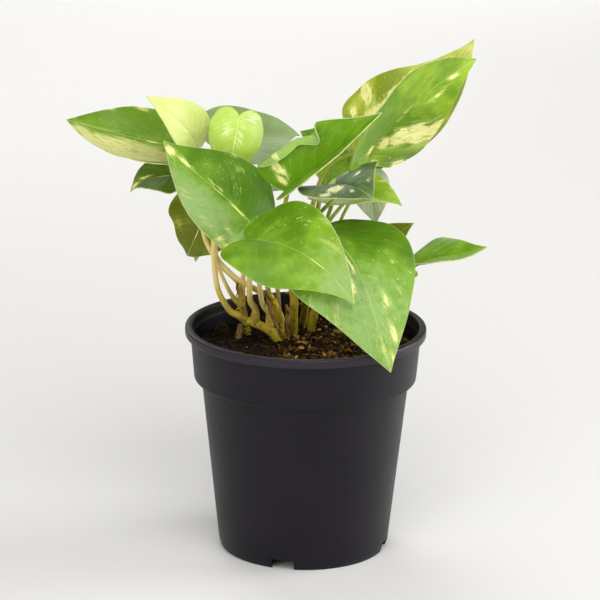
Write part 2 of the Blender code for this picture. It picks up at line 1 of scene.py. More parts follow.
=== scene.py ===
"""Looks of the potted money plant: leaves, stalks, stems, soil, pot and the studio around them.

Blender works in metres with +Z up. Sizes in the tables are in millimetres and are scaled by MM where
they meet a mesh. The studio's sizes are in metres. The plant's front looks toward -Y.
"""
import logging
import math
import random
from dataclasses import dataclass, field
from enum import Enum
from typing import Sequence

import bmesh
import bpy
import numpy as np
from mathutils import Matrix, Vector, noise


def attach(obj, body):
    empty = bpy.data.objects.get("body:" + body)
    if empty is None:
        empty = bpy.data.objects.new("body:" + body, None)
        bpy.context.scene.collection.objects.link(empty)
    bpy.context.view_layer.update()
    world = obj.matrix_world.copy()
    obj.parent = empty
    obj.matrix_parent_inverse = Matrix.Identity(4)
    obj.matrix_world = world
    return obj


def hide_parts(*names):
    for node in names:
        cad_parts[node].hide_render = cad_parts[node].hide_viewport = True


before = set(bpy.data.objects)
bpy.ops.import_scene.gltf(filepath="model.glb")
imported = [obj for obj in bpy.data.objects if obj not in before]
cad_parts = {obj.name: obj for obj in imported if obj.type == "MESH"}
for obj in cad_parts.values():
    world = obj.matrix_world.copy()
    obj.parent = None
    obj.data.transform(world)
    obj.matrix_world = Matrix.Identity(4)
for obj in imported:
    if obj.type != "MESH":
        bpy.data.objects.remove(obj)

MM = 0.001                     # metres in a millimetre
MERGE = 1e-6                   # distance in metres under which points are merged
SPLINE_STEPS = 24              # steps on each run of a smooth curve
LOG = logging.getLogger("money_plant")
Colour = tuple[float, float, float]


# Shader expressions

class Wire:
    """One output socket of a material, with arithmetic that adds the nodes for it."""

    def __init__(self, graph: "Graph", socket: bpy.types.NodeSocket) -> None:
        """Wraps a socket.

        Args:
            graph: The material that the socket belongs to.
            socket: The output socket.
        """
        self.graph, self.socket = graph, socket

    def _math(self, operation: str, first: "Wire | float", *rest: "Wire | float") -> "Wire":
        """Math node on up to three values."""
        inputs = dict(enumerate((first, *rest)))
        return self.graph.add("ShaderNodeMath", {"operation": operation}, inputs)

    def __add__(self, other: "Wire | float") -> "Wire":
        """Sum."""
        return self._math("ADD", self, other)

    def __radd__(self, other: float) -> "Wire":
        """Sum, reflected."""
        return self._math("ADD", other, self)

    def __sub__(self, other: "Wire | float") -> "Wire":
        """Difference."""
        return self._math("SUBTRACT", self, other)

    def __rsub__(self, other: float) -> "Wire":
        """Difference, reflected."""
        return self._math("SUBTRACT", other, self)

    def __mul__(self, other: "Wire | float") -> "Wire":
        """Product."""
        return self._math("MULTIPLY", self, other)

    def __rmul__(self, other: float) -> "Wire":
        """Product, reflected."""
        return self._math("MULTIPLY", other, self)

    def __abs__(self) -> "Wire":
        """Magnitude."""
        return self._math("ABSOLUTE", self)

    def fract(self) -> "Wire":
        """Fractional part."""
        return self._math("FRACT", self)

    def ramp(self, low: float, high: float, start: float = 0.0, end: float = 1.0) -> "Wire":
        """Smooth step of the value between two limits.

        Args:
            low: Value where the step begins.
            high: Value where it ends.
            start: Result below the step.
            end: Result above it.

        Returns:
            The stepped value.
        """
        if low > high:
            low, high, start, end = high, low, end, start
        settings = {"interpolation_type": "SMOOTHSTEP"}
        return self.graph.add("ShaderNodeMapRange", settings, {0: self, 1: low, 2: high, 3: start, 4: end})


class Graph:
    """A node material with one Principled shader, built from expressions."""

    def __init__(self, name: str, preview: Colour) -> None:
        """Starts a material.

        Args:
            name: Name of the material.
            preview: Plain colour for solid views.
        """
        self.material = bpy.data.materials.new(name)
        self.material.use_nodes = True
        self.material.diffuse_color = (*preview, 1.0)
        self.tree = self.material.node_tree
        self.shader = self.tree.nodes["Principled BSDF"]

    def add(self, kind: str, settings: dict | None = None, inputs: dict | None = None,
            output: int | str = 0) -> Wire:
        """Adds a node.

        Args:
            kind: Type of the node.
            settings: Its properties, and under "stops" the stops of a colour ramp.
            inputs: Values or wires for its sockets, by index or name.
            output: Output socket to return.

        Returns:
            The chosen output.
        """
        node = self.tree.nodes.new(kind)
        for key, value in (settings or {}).items():
            if key == "stops":
                elements = node.color_ramp.elements
                while len(elements) < len(value):
                    elements.new(0.5)
                for element, (place, colour) in zip(elements, value):
                    element.position = place
                    element.color = (*colour, 1.0)
            else:
                setattr(node, key, value)
        for key, value in (inputs or {}).items():
            self.feed(node.inputs[key], value)
        return Wire(self, node.outputs[output])

    def feed(self, socket: bpy.types.NodeSocket, value: "Wire | float | Sequence[float]") -> None:
        """Links a wire to a socket, or sets the socket's own value.

        Args:
            socket: The input socket.
            value: Wire, number, vector or colour.
        """
        if isinstance(value, Wire):
            self.tree.links.new(value.socket, socket)
        elif socket.type == "RGBA" and len(value) == 3:
            socket.default_value = (*value, 1.0)
        else:
            socket.default_value = value

    def mix(self, share: Wire | float, first: "Wire | Colour", second: "Wire | Colour") -> Wire:
        """Colour between two colours, the second where the share is 1."""
        return self.add("ShaderNodeMix", {"data_type": "RGBA"}, {0: share, 6: first, 7: second}, 2)

    def attribute(self, name: str) -> Wire:
        """Number stored on the mesh."""
        return self.add("ShaderNodeAttribute", {"attribute_name": name}, None, "Fac")

    def place(self, scale: Sequence[float] = (1.0, 1.0, 1.0)) -> Wire:
        """Object coordinates in millimetres.

        Args:
            scale: How much finer the pattern that reads them is along each axis.

        Returns:
            The coordinates.
        """
        coordinates = self.add("ShaderNodeTexCoord", None, None, "Object")
        size = tuple(1.0 / MM * s for s in scale)
        return self.add("ShaderNodeMapping", None, {"Vector": coordinates, "Scale": size})

    def noise(self, place: Wire, scale: float, detail: float = 2.0, roughness: float = 0.5) -> Wire:
        """Noise between about 0.2 and 0.8."""
        return self.add("ShaderNodeTexNoise", None,
                        {"Vector": place, "Scale": scale, "Detail": detail, "Roughness": roughness}, "Fac")

    def bump(self, height: Wire, distance: float, strength: float = 1.0) -> None:
        """Gives the surface a fine relief.

        Args:
            height: Height between 0 and 1.
            distance: Height of the relief in millimetres.
            strength: Share of it that shows.
        """
        inputs = {"Height": height, "Distance": distance * MM, "Strength": strength}
        self.feed(self.shader.inputs["Normal"], self.add("ShaderNodeBump", None, inputs, "Normal"))

    def finish(self, colour: "Wire | Colour", roughness: "Wire | float",
               specular: float) -> bpy.types.Material:
        """Sets the shader's main sockets.

        Args:
            colour: Base colour.
            roughness: Roughness.
            specular: Specular level.

        Returns:
            The finished material.
        """
        self.feed(self.shader.inputs["Base Color"], colour)
        self.feed(self.shader.inputs["Roughness"], roughness)
        self.shader.inputs["Specular IOR Level"].default_value = specular
        return self.material


def between(first: Colour, second: Colour, share: float) -> Colour:
    """Colour between two colours, the second where the share is 1."""
    return tuple((1.0 - share) * a + share * b for a, b in zip(first, second))


def dimmed(colour: Colour, share: float) -> Colour:
    """Darker version of a colour."""
    return tuple(share * c for c in colour)


# Curves and meshes

def unit(vectors: np.ndarray) -> np.ndarray:
    """Vectors scaled to length one."""
    return vectors / np.linalg.norm(vectors, axis=-1, keepdims=True)


def smooth_step(x: np.ndarray) -> np.ndarray:
    """Smooth ramp from 0 to 1."""
    x = np.clip(x, 0.0, 1.0)
    return x * x * (3.0 - 2.0 * x)


def spline(points: Sequence[Sequence[float]], count: int) -> np.ndarray:
    """Smooth curve through points.

    Args:
        points: Points that the curve passes.
        count: How many points to return, spaced evenly along it.

    Returns:
        The points of the curve.
    """
    p = np.asarray(points, float)
    q = np.vstack([2 * p[0] - p[1], p, 2 * p[-1] - p[-2]])
    runs = []
    for i in range(1, len(q) - 2):
        t = np.linspace(0.0, 1.0, SPLINE_STEPS, endpoint=False)[:, None]
        a, b, c, d = q[i - 1], q[i], q[i + 1], q[i + 2]
        cubic = 2 * b + (c - a) * t + (2 * a - 5 * b + 4 * c - d) * t**2 + (3 * b - a - 3 * c + d) * t**3
        runs.append(0.5 * cubic)
    line = np.vstack(runs + [p[-1:]])
    length = run_along(line)
    at = np.linspace(0.0, length[-1], count)
    return np.stack([np.interp(at, length, line[:, k]) for k in range(line.shape[1])], -1)


def heading(azimuth: float, elevation: float) -> np.ndarray:
    """Unit vector from an azimuth, 0 at the front and positive to the right, and an elevation."""
    a, e = math.radians(azimuth), math.radians(elevation)
    return np.array([math.sin(a) * math.cos(e), -math.cos(a) * math.cos(e), math.sin(e)])


def link(name: str, data: bpy.types.ID) -> bpy.types.Object:
    """Puts an object into the scene.

    Args:
        name: Name of the object.
        data: Its mesh, curve, lamp or camera.

    Returns:
        The object.
    """
    obj = bpy.data.objects.new(name, data)
    bpy.context.scene.collection.objects.link(obj)
    return obj


def from_bmesh(name: str, bm: bmesh.types.BMesh) -> bpy.types.Object:
    """Object from a bmesh.

    Args:
        name: Name of the object and of its mesh.
        bm: The bmesh, which is freed.

    Returns:
        The object.
    """
    mesh = bpy.data.meshes.new(name)
    bm.to_mesh(mesh)
    bm.free()
    return link(name, mesh)


def evaluated(obj: bpy.types.Object) -> bpy.types.Mesh:
    """Mesh of an object with its modifiers applied.

    Args:
        obj: The object, which is removed.

    Returns:
        The mesh.
    """
    mesh = bpy.data.meshes.new_from_object(obj.evaluated_get(bpy.context.evaluated_depsgraph_get()))
    bpy.data.objects.remove(obj)
    return mesh


def joined(name: str, meshes: Sequence[bpy.types.Mesh]) -> bpy.types.Object:
    """One object that holds several meshes.

    Args:
        name: Name of the object.
        meshes: The meshes, which keep their material indices and are removed.

    Returns:
        The object.
    """
    bm = bmesh.new()
    for mesh in meshes:
        bm.from_mesh(mesh)
        bpy.data.meshes.remove(mesh)
    return from_bmesh(name, bm)


def store(mesh: bpy.types.Mesh, name: str, values: np.ndarray) -> None:
    """Writes one number per vertex."""
    attribute = mesh.attributes.get(name) or mesh.attributes.new(name, "FLOAT", "POINT")
    attribute.data.foreach_set("value", np.asarray(values, np.float32))


def vertex_places(mesh: bpy.types.Mesh) -> np.ndarray:
    """Places of the vertices.

    Args:
        mesh: The mesh.

    Returns:
        The places in millimetres, one row each.
    """
    co = np.zeros(len(mesh.vertices) * 3, np.float32)
    mesh.vertices.foreach_get("co", co)
    return co.reshape(-1, 3).astype(float) / MM


def run_along(points: np.ndarray) -> np.ndarray:
    """Length of a line up to each of its points."""
    return np.concatenate([[0.0], np.cumsum(np.linalg.norm(np.diff(points, axis=0), axis=1))])


def tube(name: str, points: np.ndarray, radii: np.ndarray, resolution: int,
         material: int = 0) -> bpy.types.Mesh:
    """Closed tube.

    Args:
        name: Name of the mesh.
        points: Its axis in millimetres.
        radii: Its radius at each point.
        resolution: Bevel resolution of the curve that makes it.
        material: Material index of its faces.

    Returns:
        The mesh, with the run along the axis stored from 0 to 1 as "run".
    """
    curve = bpy.data.curves.new(name, "CURVE")
    curve.dimensions = "3D"
    curve.bevel_depth = MM
    curve.bevel_resolution = resolution
    curve.use_fill_caps = True
    line = curve.splines.new("POLY")
    line.points.add(len(points) - 1)
    for point, place, radius in zip(line.points, points, radii):
        point.co = (*(float(v) * MM for v in place), 1.0)
        point.radius = float(radius)
    mesh = evaluated(link(name, curve))
    bm = bmesh.new()
    bm.from_mesh(mesh)
    bmesh.ops.remove_doubles(bm, verts=bm.verts, dist=MERGE)
    bmesh.ops.recalc_face_normals(bm, faces=bm.faces)
    for face in bm.faces:
        face.material_index = material
        face.smooth = True
    bm.to_mesh(mesh)
    bm.free()
    co = vertex_places(mesh)
    nearest = np.argmin(((co[:, None, :] - points[None]) ** 2).sum(-1), axis=1)
    store(mesh, "run", nearest / (len(points) - 1.0))
    return mesh


def turned(name: str, profile: Sequence[tuple[float, float]], segments: int) -> bpy.types.Object:
    """Solid of revolution.

    Args:
        name: Name of the object.
        profile: Radius and height of each point, from the axis round to the axis.
        segments: Steps round the axis.

    Returns:
        The object.
    """
    bm = bmesh.new()
    verts = [bm.verts.new((r * MM, 0.0, z * MM)) for r, z in profile]
    edges = [bm.edges.new(pair) for pair in zip(verts, verts[1:])]
    bmesh.ops.spin(bm, geom=verts + edges, axis=(0, 0, 1), cent=(0, 0, 0), angle=math.tau,
                   steps=segments, use_merge=True)
    bmesh.ops.remove_doubles(bm, verts=bm.verts, dist=MERGE)
    bmesh.ops.recalc_face_normals(bm, faces=bm.faces)
    return from_bmesh(name, bm)


def settled(obj: bpy.types.Object, nodes: Sequence[str], materials: Sequence[bpy.types.Material],
            sharp: float = 180.0) -> None:
    """Gives a finished piece its shading, materials and place in the frame.

    Args:
        obj: The piece.
        nodes: CAD nodes that it stands for, none for an added piece.
        materials: Its materials.
        sharp: Angle in degrees over which an edge stays sharp.
    """
    obj.data.shade_smooth()
    if sharp < 180.0:
        obj.data.set_sharp_from_angle(angle=math.radians(sharp))
    for material in materials:
        obj.data.materials.append(material)
    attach(obj, "root")
    if nodes:
        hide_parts(*nodes)
    LOG.info("%s: %d faces", obj.name, len(obj.data.polygons))


# Leaves

@dataclass(frozen=True)
class LeafTone:
    """Colours of one leaf: deep and bright green, variegation, gloss and veins."""
    deep: Colour
    bright: Colour
    cream: Colour = (0.90, 0.86, 0.34)
    flecks: float = 0.10           # cover of small pale flecks
    roughness: float = 0.35
    veins: Colour = (0.42, 0.58, 0.16)


GREEN = LeafTone((0.120, 0.250, 0.008), (0.250, 0.430, 0.026))
STREAKED = LeafTone((0.120, 0.240, 0.010), (0.240, 0.400, 0.030), (0.64, 0.63, 0.24))
GRASS = LeafTone((0.125, 0.260, 0.006), (0.285, 0.450, 0.022))
VIVID = LeafTone((0.130, 0.290, 0.006), (0.260, 0.460, 0.020), flecks=0.08)
MEADOW = LeafTone((0.105, 0.240, 0.006), (0.235, 0.430, 0.020), flecks=0.08)
SPRING = LeafTone((0.240, 0.400, 0.020), (0.400, 0.560, 0.050), flecks=0.12)
FOREST = LeafTone((0.078, 0.190, 0.004), (0.175, 0.350, 0.014), flecks=0.15)
DUSK = LeafTone((0.075, 0.145, 0.006), (0.150, 0.250, 0.016), roughness=0.58)
SHADE = LeafTone((0.120, 0.155, 0.003), (0.230, 0.260, 0.008), (0.50, 0.45, 0.10), roughness=0.50)
PALE = LeafTone((0.205, 0.310, 0.110), (0.305, 0.410, 0.175), flecks=0.02, roughness=0.46)
MIST = LeafTone((0.480, 0.560, 0.340), (0.640, 0.700, 0.480), flecks=0.02, roughness=0.46)
OLIVE = LeafTone((0.220, 0.300, 0.012), (0.500, 0.560, 0.055), flecks=0.12)
SLATE = LeafTone((0.065, 0.120, 0.035), (0.205, 0.275, 0.100), (0.80, 0.76, 0.38), flecks=0.14,
                 roughness=0.46)
LIME = LeafTone((0.440, 0.640, 0.085), (0.640, 0.820, 0.210), (0.86, 0.96, 0.58), flecks=0.0,
                veins=(0.74, 0.86, 0.38))
LEMON = LeafTone((0.620, 0.710, 0.190), (0.740, 0.790, 0.300), (0.92, 0.92, 0.56), flecks=0.08,
                 veins=(0.62, 0.66, 0.22))

# Half of a blade's outline, from the notch at the petiole round the lobe to the tip,
# as shares of the length and of half the width
HALF_OUTLINE = ((0.0, 0.0), (-0.07, 0.12), (-0.125, 0.36), (-0.10, 0.68), (0.04, 0.93), (0.22, 1.0),
                (0.42, 0.90), (0.60, 0.66), (0.76, 0.39), (0.90, 0.15), (1.0, 0.0))
RIB_START_POWER = 2.0          # how slowly the cells leave the notch along the midrib


@dataclass(frozen=True)
class Vine:
    """One rooted cutting: points of its axis from the root up, and its radius."""
    name: str
    points: tuple
    radius: float


@dataclass(frozen=True)
class Leaf:
    """One leaf: blade attitude, size, the path of its petiole and its colours."""
    name: str
    vine: str
    node: float                # share of the vine's length where the petiole leaves, 1 is its end
    base: tuple                # end of the petiole, at the notch of the blade
    tip: tuple
    faces: tuple               # azimuth from the front toward the right, and elevation, of the upper side
    width: float
    lift: float = 15.0         # angles of the midrib against its chord, in degrees
    droop: float = 20.0
    sweep: float = 0.0
    twist: float = 0.0
    fold: tuple = (15.0, 15.0)     # rise of the left and right half at the midrib
    curl: tuple = (-10.0, -10.0)   # further turn of each half up to its margin
    roll: tuple = (0.0, 0.0)       # turn inside the band where a half rolls over
    roll_band: tuple = (0.4, 0.8)
    roll_fade: tuple = (0.5, 0.8)
    roll_slant: float = 0.0        # how far the band nears the midrib before the roll fades
    lobes: float = 1.0             # length of the lobes behind the notch, as a share of the usual
    wave: float = 0.8          # height of the margin's waves
    cycles: float = 2.5
    phase: float = 0.0
    leaves: tuple = (0.0, 0.0, 1.0)    # direction in which the petiole leaves the vine
    way: tuple = ()            # points that the petiole passes
    petiole: float = 1.25      # its radius
    skew: float = 0.0          # how much wider the left half is, as a share of half the width
    trim: float = 0.0          # share of the left half that ends inside the roll, near the notch
    tone: LeafTone = GREEN
    patches: tuple = ()        # place along and across, reach along and across, strength
    haze: tuple = ()           # painted sheen, greyer green, where the strength is above 0, and painted shade, deeper green, where it is below 0
    streaks: tuple = (24.0, 5.0)   # fineness of the variegation along the leaf and across it

    @property
    def span(self) -> float:
        """Distance from the notch to the tip."""
        return float(np.linalg.norm(np.array(self.tip, float) - np.array(self.base, float)))


VINES = (
    Vine("vine_left",
         ((-12.5, 12, 87), (-14, 11, 104), (-17, 10.5, 107.5), (-23, 9.8, 111), (-30, 9, 114)), 2.3),
    Vine("vine_centre",
         ((-10, 18, 87), (-10.5, 16.5, 104.5), (-12, 15.5, 110), (-14.5, 13.5, 118),
          (-17, 12.5, 124)), 2.2),
    Vine("vine_upright",
         ((-6, 25, 87), (-6, 23, 104.5), (-6, 22, 112), (-6, 20.5, 122), (-8, 18.5, 138),
          (-10, 16, 150)), 2.1),
    Vine("vine_right", ((2, 31, 87), (3, 29, 104.5), (4, 27.5, 111), (6, 23.5, 120), (8, 19, 134)), 2.1),
    Vine("vine_back", ((-1, 41, 87), (-1, 39, 104.5), (0, 37, 115), (2, 34.5, 128), (4, 32, 140)), 2.1),
    Vine("vine_far_left", ((-29, 22, 87), (-29.5, 21, 104.5), (-31, 20, 112), (-32.5, 18, 122)), 1.8),
    Vine("vine_far_right", ((17, 27, 87), (18, 27, 104.5), (21, 26, 111), (26, 24, 117)), 1.9),
)
LEAVES = (
    Leaf("leaf_far_left", "vine_left", 1.0, (-59, 28, 197.4), (-120, 26, 211.4), (-3, 30), 40,
         21, 50, -13, -21, (22, -4), (54, -42), wave=0.6, lobes=0.2, leaves=(-0.8, -0.1, 0.6),
         way=((-38, 8, 119), (-44, 6, 131), (-46, 5, 151), (-45.5, 12, 173), (-50, 27, 188)), petiole=1.45,
         tone=STREAKED, streaks=(5.0, 16.0),
         patches=((0.48, -0.52, 0.5, 0.46, 1.2), (0.85, -0.3, 0.15, 0.3, 1.1),
                  (0.38, 0.88, 0.07, 0.09, 0.9), (0.65, 0.6, 0.07, 0.08, 0.7),
                  (0.1, -0.5, 0.2, 0.3, 1), (0.93, 0.1, 0.06, 0.1, 0.6)),
         haze=((0.5, 0.5, 0.6, 0.4, -0.4),)),
    Leaf("leaf_front_left", "vine_left", 0.86, (-27, -8, 168), (-70, -15, 211.5), (0, 46), 47,
         17, -20, 0, -21, (7, 5), (5, -17), wave=0.9, leaves=(0.0, -0.1, 1.0),
         way=((-28, 6.2, 126), (-28.5, 2, 146)), petiole=1.5,
         tone=FOREST,
         patches=((0.16, -0.03, 0.12, 0.035, 0.95), (0.42, 0.06, 0.1, 0.03, 0.7),
                  (0.74, 0.02, 0.12, 0.05, 0.9), (0.9, -0.03, 0.08, 0.12, 0.9),
                  (0.17, -0.83, 0.12, 0.16, 0.68), (0.04, -0.85, 0.1, 0.18, 0.85),
                  (0.14, -0.55, 0.1, 0.1, 0.6), (0.48, 0.88, 0.07, 0.08, 0.7),
                  (0.34, -0.74, 0.08, 0.1, 0.6), (0.6, -0.5, 0.1, 0.1, 0.5),
                  (0.27, 0.32, 0.06, 0.06, 0.5), (0.36, 0.66, 0.06, 0.08, 0.5)),
         haze=((0.5, -0.5, 0.5, 0.5, 1.1), (0.25, -0.8, 0.3, 0.3, 0.3), (0.55, 0.4, 0.45, 0.5, -0.6),
               (0.05, 0.35, 0.2, 0.4, -0.5))),
    Leaf("leaf_front", "vine_left", 0.62, (-28, -26, 165), (23, -56, 142), (37, 55), 50, 31, 32, -4, 66,
         (0, 14), (32, -40), wave=0.7, leaves=(-0.1, 0.1, 1.0),
         way=((-22, 7, 124), (-24, -6, 142)), petiole=1.35,
         tone=MEADOW,
         patches=((0.6, -0.45, 0.1, 0.1, 0.5), (0.35, -0.62, 0.1, 0.1, 0.4),
                  (0.52, -0.78, 0.1, 0.1, 0.5), (0.72, 0.75, 0.1, 0.12, 0.5)),
         haze=((0.88, 0, 0.25, 0.6, 0.9), (0.6, -0.45, 0.25, 0.4, 0.4),
               (0.15, -0.6, 0.3, 0.5, -0.7))),
    Leaf("leaf_lime", "vine_centre", 1.0, (-34, 14, 217), (-40, 12, 182.3), (0, 6), 31.5,
         35, 10, 0, 0, (5, 5), (-62, -62), wave=0.5, leaves=(-0.85, -0.2, 0.4),
         way=((-26, 10, 130), (-37, 8.5, 137.5), (-45.5, 10, 149), (-40.5, 10, 167), (-37, 20, 200)),
         petiole=1.3,
         tone=LIME,
         patches=((0.2, 0.3, 0.18, 0.22, 0.6), (-0.02, -0.45, 0.14, 0.4, 0.68),
                  (0.3, -0.14, 0.18, 0.14, 0.54))),
    Leaf("leaf_low_left", "vine_centre", 0.74, (-50, 24, 169), (-60, 33, 140), (-19, 20), 39, 11, 26,
         -10, -3, (12, 12), (-13, -25), wave=1.2, cycles=3.5, leaves=(-0.5, 0.5, 0.7),
         way=((-22, 24, 134), (-36, 33, 147)), petiole=1.2,
         tone=SHADE,
         patches=((0.5, 0.55, 0.14, 0.16, 0.6), (0.1, -0.8, 0.2, 0.2, 0.5))),
    Leaf("leaf_back_left", "vine_centre", 0.52, (-21, 46, 171), (-38, 88, 149), (200, 55), 46, 20, 30,
         0, 8, (14, 14), (-14, -18), leaves=(-0.3, 0.9, 0.6),
         way=((-14, 24, 122), (-17, 33, 148)), petiole=1.2,
         tone=GREEN,
         patches=((0.35, 0.45, 0.2, 0.25, 0.8), (0.7, -0.3, 0.15, 0.2, 0.7),
                  (0.15, -0.6, 0.12, 0.2, 0.7))),
    Leaf("leaf_rolled", "vine_upright", 1.0, (-11, -4, 184), (36, -8, 225), (0, 16), 41, 12, -8, 4, 0,
         (24, 80), (0, 0), (174, 0), (0.65, 0.79), (0.47, 0.57), wave=0.3, leaves=(-0.1, -0.3, 1.0),
         way=((-12, 8, 166),), petiole=1.25, skew=0.36, roll_slant=0.14, lobes=0.35,
         tone=VIVID, trim=0.12,
         patches=((0.05, -0.2, 0.03, 0.15, 1), (0.09, -0.45, 0.035, 0.25, 1.1),
                  (0.14, -0.75, 0.04, 0.22, 1.1)),
         haze=((0.25, -0.4, 0.35, 0.4, -1), (0.6, -0.4, 0.4, 0.5, -0.1))),
    Leaf("leaf_behind_left", "vine_upright", 0.60, (-43, 40, 193), (-4, 66, 195), (-9, 62), 52,
         -4, 26, -8, 3, (18, 22), (-8, -20), leaves=(-0.3, 0.5, 0.8),
         way=((-8, 27, 136), (-20, 31, 160), (-36, 35, 178)), petiole=1.2,
         tone=PALE),
    Leaf("leaf_grey", "vine_upright", 0.82, (14, -3, 187.3), (32, -24, 185.3), (23, 61), 45, 22, 40, 14, 16,
         (31, 9), (-44, -4), wave=0.5, leaves=(0.3, 0.2, 1.0),
         way=((-2, 13, 152), (3, 3, 167), (9, -8, 177)), petiole=1.15, lobes=2.8,
         tone=SLATE,
         patches=((0.38, 0.34, 0.12, 0.24, 1.15), (0.44, 0.68, 0.08, 0.16, 1),
                  (-0.25, -0.6, 0.08, 0.2, 0.9), (0.36, -0.38, 0.07, 0.12, 0.85),
                  (0.7, -0.3, 0.06, 0.08, 0.7), (0.64, 0.17, 0.06, 0.06, 0.75),
                  (-0.05, 0.4, 0.08, 0.12, 0.7)),
         haze=((0.3, 0, 0.5, 0.6, -0.6),)),
    Leaf("leaf_front_right", "vine_right", 1.0, (9, -18, 166), (41, -60, 109), (35, 25), 70, 42, 2, -7, 17,
         (-10, -20), (14, 12), wave=1.1, leaves=(0.0, -0.5, 0.9),
         way=((8, 10, 144),), petiole=1.45,
         tone=FOREST,
         patches=((0.3, 0.06, 0.14, 0.03, 0.85), (0.45, 0.16, 0.1, 0.06, 0.75),
                  (0.78, -0.21, 0.08, 0.08, 0.85), (0.6, -0.23, 0.08, 0.08, 0.75),
                  (0.86, 0, 0.08, 0.06, 0.6), (0.62, -0.85, 0.1, 0.1, 0.6),
                  (0.92, -0.1, 0.06, 0.1, 0.6), (0.45, 0.8, 0.1, 0.1, 0.5),
                  (0.56, 0.55, 0.1, 0.08, 0.5)),
         haze=((0.62, 0.1, 0.5, 1.1, 0.8), (0.02, 0.6, 0.25, 0.5, -0.9),
               (0.15, -0.6, 0.25, 0.5, -0.6))),
    Leaf("leaf_right", "vine_right", 0.80, (11, 20.6, 175.3), (47, 8.6, 173.8), (13, 68), 38,
         17, 45, 12, 14, (14, 34), (-4, -24), wave=0.7, leaves=(0.5, 0.3, 0.9),
         way=((12, 22, 142), (10, 23, 160)), petiole=1.2,
         tone=SPRING,
         patches=((0.68, -0.5, 0.1, 0.08, 0.6), (0.8, -0.3, 0.06, 0.06, 0.6),
                  (0.62, 0.45, 0.12, 0.14, 0.6))),
    Leaf("leaf_hanging", "vine_right", 0.62, (31, 51, 178), (35, 50, 153), (0, 20), 20, 20, 20, 0, 0,
         (10, 10), (-12, -12), wave=0.5, leaves=(0.8, 0.4, 0.6),
         way=((10, 31, 135), (18, 39, 160)), petiole=1.0,
         tone=MIST),
    Leaf("leaf_upper_right", "vine_back", 1.0, (30, 34, 190), (84, 48, 240), (52, 11), 60, 4, 22, -33, -34,
         (29, -3), (30, -19), wave=1.0, leaves=(0.2, -0.4, 0.9),
         way=((2, 38, 160), (8, 44, 180), (18, 44, 189)), petiole=1.35, skew=0.13, lobes=0.2,
         tone=GRASS,
         patches=((0.08, -0.1, 0.05, 0.1, 0.9), (0.15, 0.12, 0.06, 0.14, 1),
                  (0.24, 0.34, 0.1, 0.22, 1.15), (0.34, 0.6, 0.13, 0.28, 1.25),
                  (0.47, 0.86, 0.14, 0.3, 1.25), (0, 0.82, 0.08, 0.24, 1.1),
                  (0, 0.16, 0.05, 0.12, 0.85), (0.79, 0.05, 0.07, 0.05, 0.8),
                  (0.65, 0.17, 0.1, 0.06, 0.75), (0.41, 0.02, 0.1, 0.05, 0.65),
                  (0.7, -0.75, 0.12, 0.12, 0.6)),
         haze=((0.4, -0.5, 0.6, 0.5, -0.2), (0.08, 0.5, 0.06, 0.2, -0.6),
               (0.7, -0.3, 0.3, 0.4, 0.2))),
    Leaf("leaf_top_right", "vine_back", 0.88, (27, 57, 202), (84, 73, 245), (-20, 14), 45, 25, 13, 26, 3,
         (-10, -8), (2, -15), wave=1.0, leaves=(0.1, 0.3, 1.0),
         way=((5, 42, 160), (12, 52, 185)), petiole=1.3,
         tone=OLIVE,
         patches=((0.1, -0.72, 0.07, 0.32, 1.15), (0.34, -0.44, 0.12, 0.12, 1.1),
                  (0.48, -0.5, 0.12, 0.09, 1.1), (0.62, -0.45, 0.12, 0.07, 1),
                  (0.16, -0.24, 0.14, 0.14, 1.1), (0.26, -0.34, 0.1, 0.09, 1),
                  (-0.04, -0.43, 0.05, 0.2, 0.8), (-0.1, -0.2, 0.05, 0.15, 0.8),
                  (0.93, 0, 0.08, 0.3, 0.6)),
         haze=((0.22, -0.5, 0.05, 0.1, -1.6), (0.35, -0.75, 0.25, 0.25, -0.6))),
    Leaf("leaf_behind", "vine_back", 0.70, (30, 63, 176), (-4, 80, 194), (0, 38), 46, 8, 10, 0, 0,
         (14, 14), (-12, -12), leaves=(0.4, 0.3, 0.9),
         way=((8, 44, 150), (20, 56, 164)), petiole=1.1, skew=-0.15,
         tone=GREEN,
         patches=((0.4, 0.4, 0.2, 0.3, 0.6),)),
    Leaf("leaf_back", "vine_back", 0.56, (-14, 50, 150), (-22, 92, 112), (190, 40), 46, 25, 25, 0, 0,
         (12, 12), (-10, -16), leaves=(-0.2, 0.8, 0.7),
         way=((-6, 45, 132),), petiole=1.2,
         tone=GREEN,
         patches=((0.3, -0.5, 0.2, 0.25, 0.85), (0.65, 0.3, 0.2, 0.2, 0.7), (0.1, 0.7, 0.12, 0.2, 0.8))),
    Leaf("leaf_upper_left", "vine_far_left", 1.0, (-55, 12, 201.6), (-79, -7, 231.7), (25, 39), 30, 30, 22,
         -1, 4, (5, 13), (-4, -1), wave=0.4, leaves=(-0.1, -0.1, 1.0),
         way=((-34.5, 15, 132), (-44, 14, 142), (-51, 12, 156), (-52, 6.5, 172),
              (-50.5, 4, 185), (-51, 6, 195)), petiole=1.1,
         tone=LEMON,
         patches=((0.12, 0, 0.22, 0.35, 0.5), (0.45, -0.1, 0.3, 0.12, 0.55))),
    Leaf("leaf_left", "vine_far_left", 0.86, (-65, 20, 185), (-88, 21, 176), (-4, 59), 28, 15, 34, 17, 15,
         (20, 17), (-27, -14), wave=0.5, leaves=(-0.7, 0.4, 0.7),
         way=((-42, 28, 130), (-51, 36.5, 150), (-63, 38, 172)), petiole=1.0,
         tone=DUSK,
         patches=((0.85, 0, 0.15, 0.25, 0.8), (0.6, 0.1, 0.2, 0.08, 0.75)),
         haze=((0.3, -0.3, 0.4, 0.4, -0.5),)),
    Leaf("leaf_low_back_left", "vine_far_left", 0.72, (-34, 46, 156), (-58, 86, 122), (205, 45), 42, 22, 28,
         0, -6, (12, 12), (-12, -12), leaves=(-0.1, 0.9, 0.6),
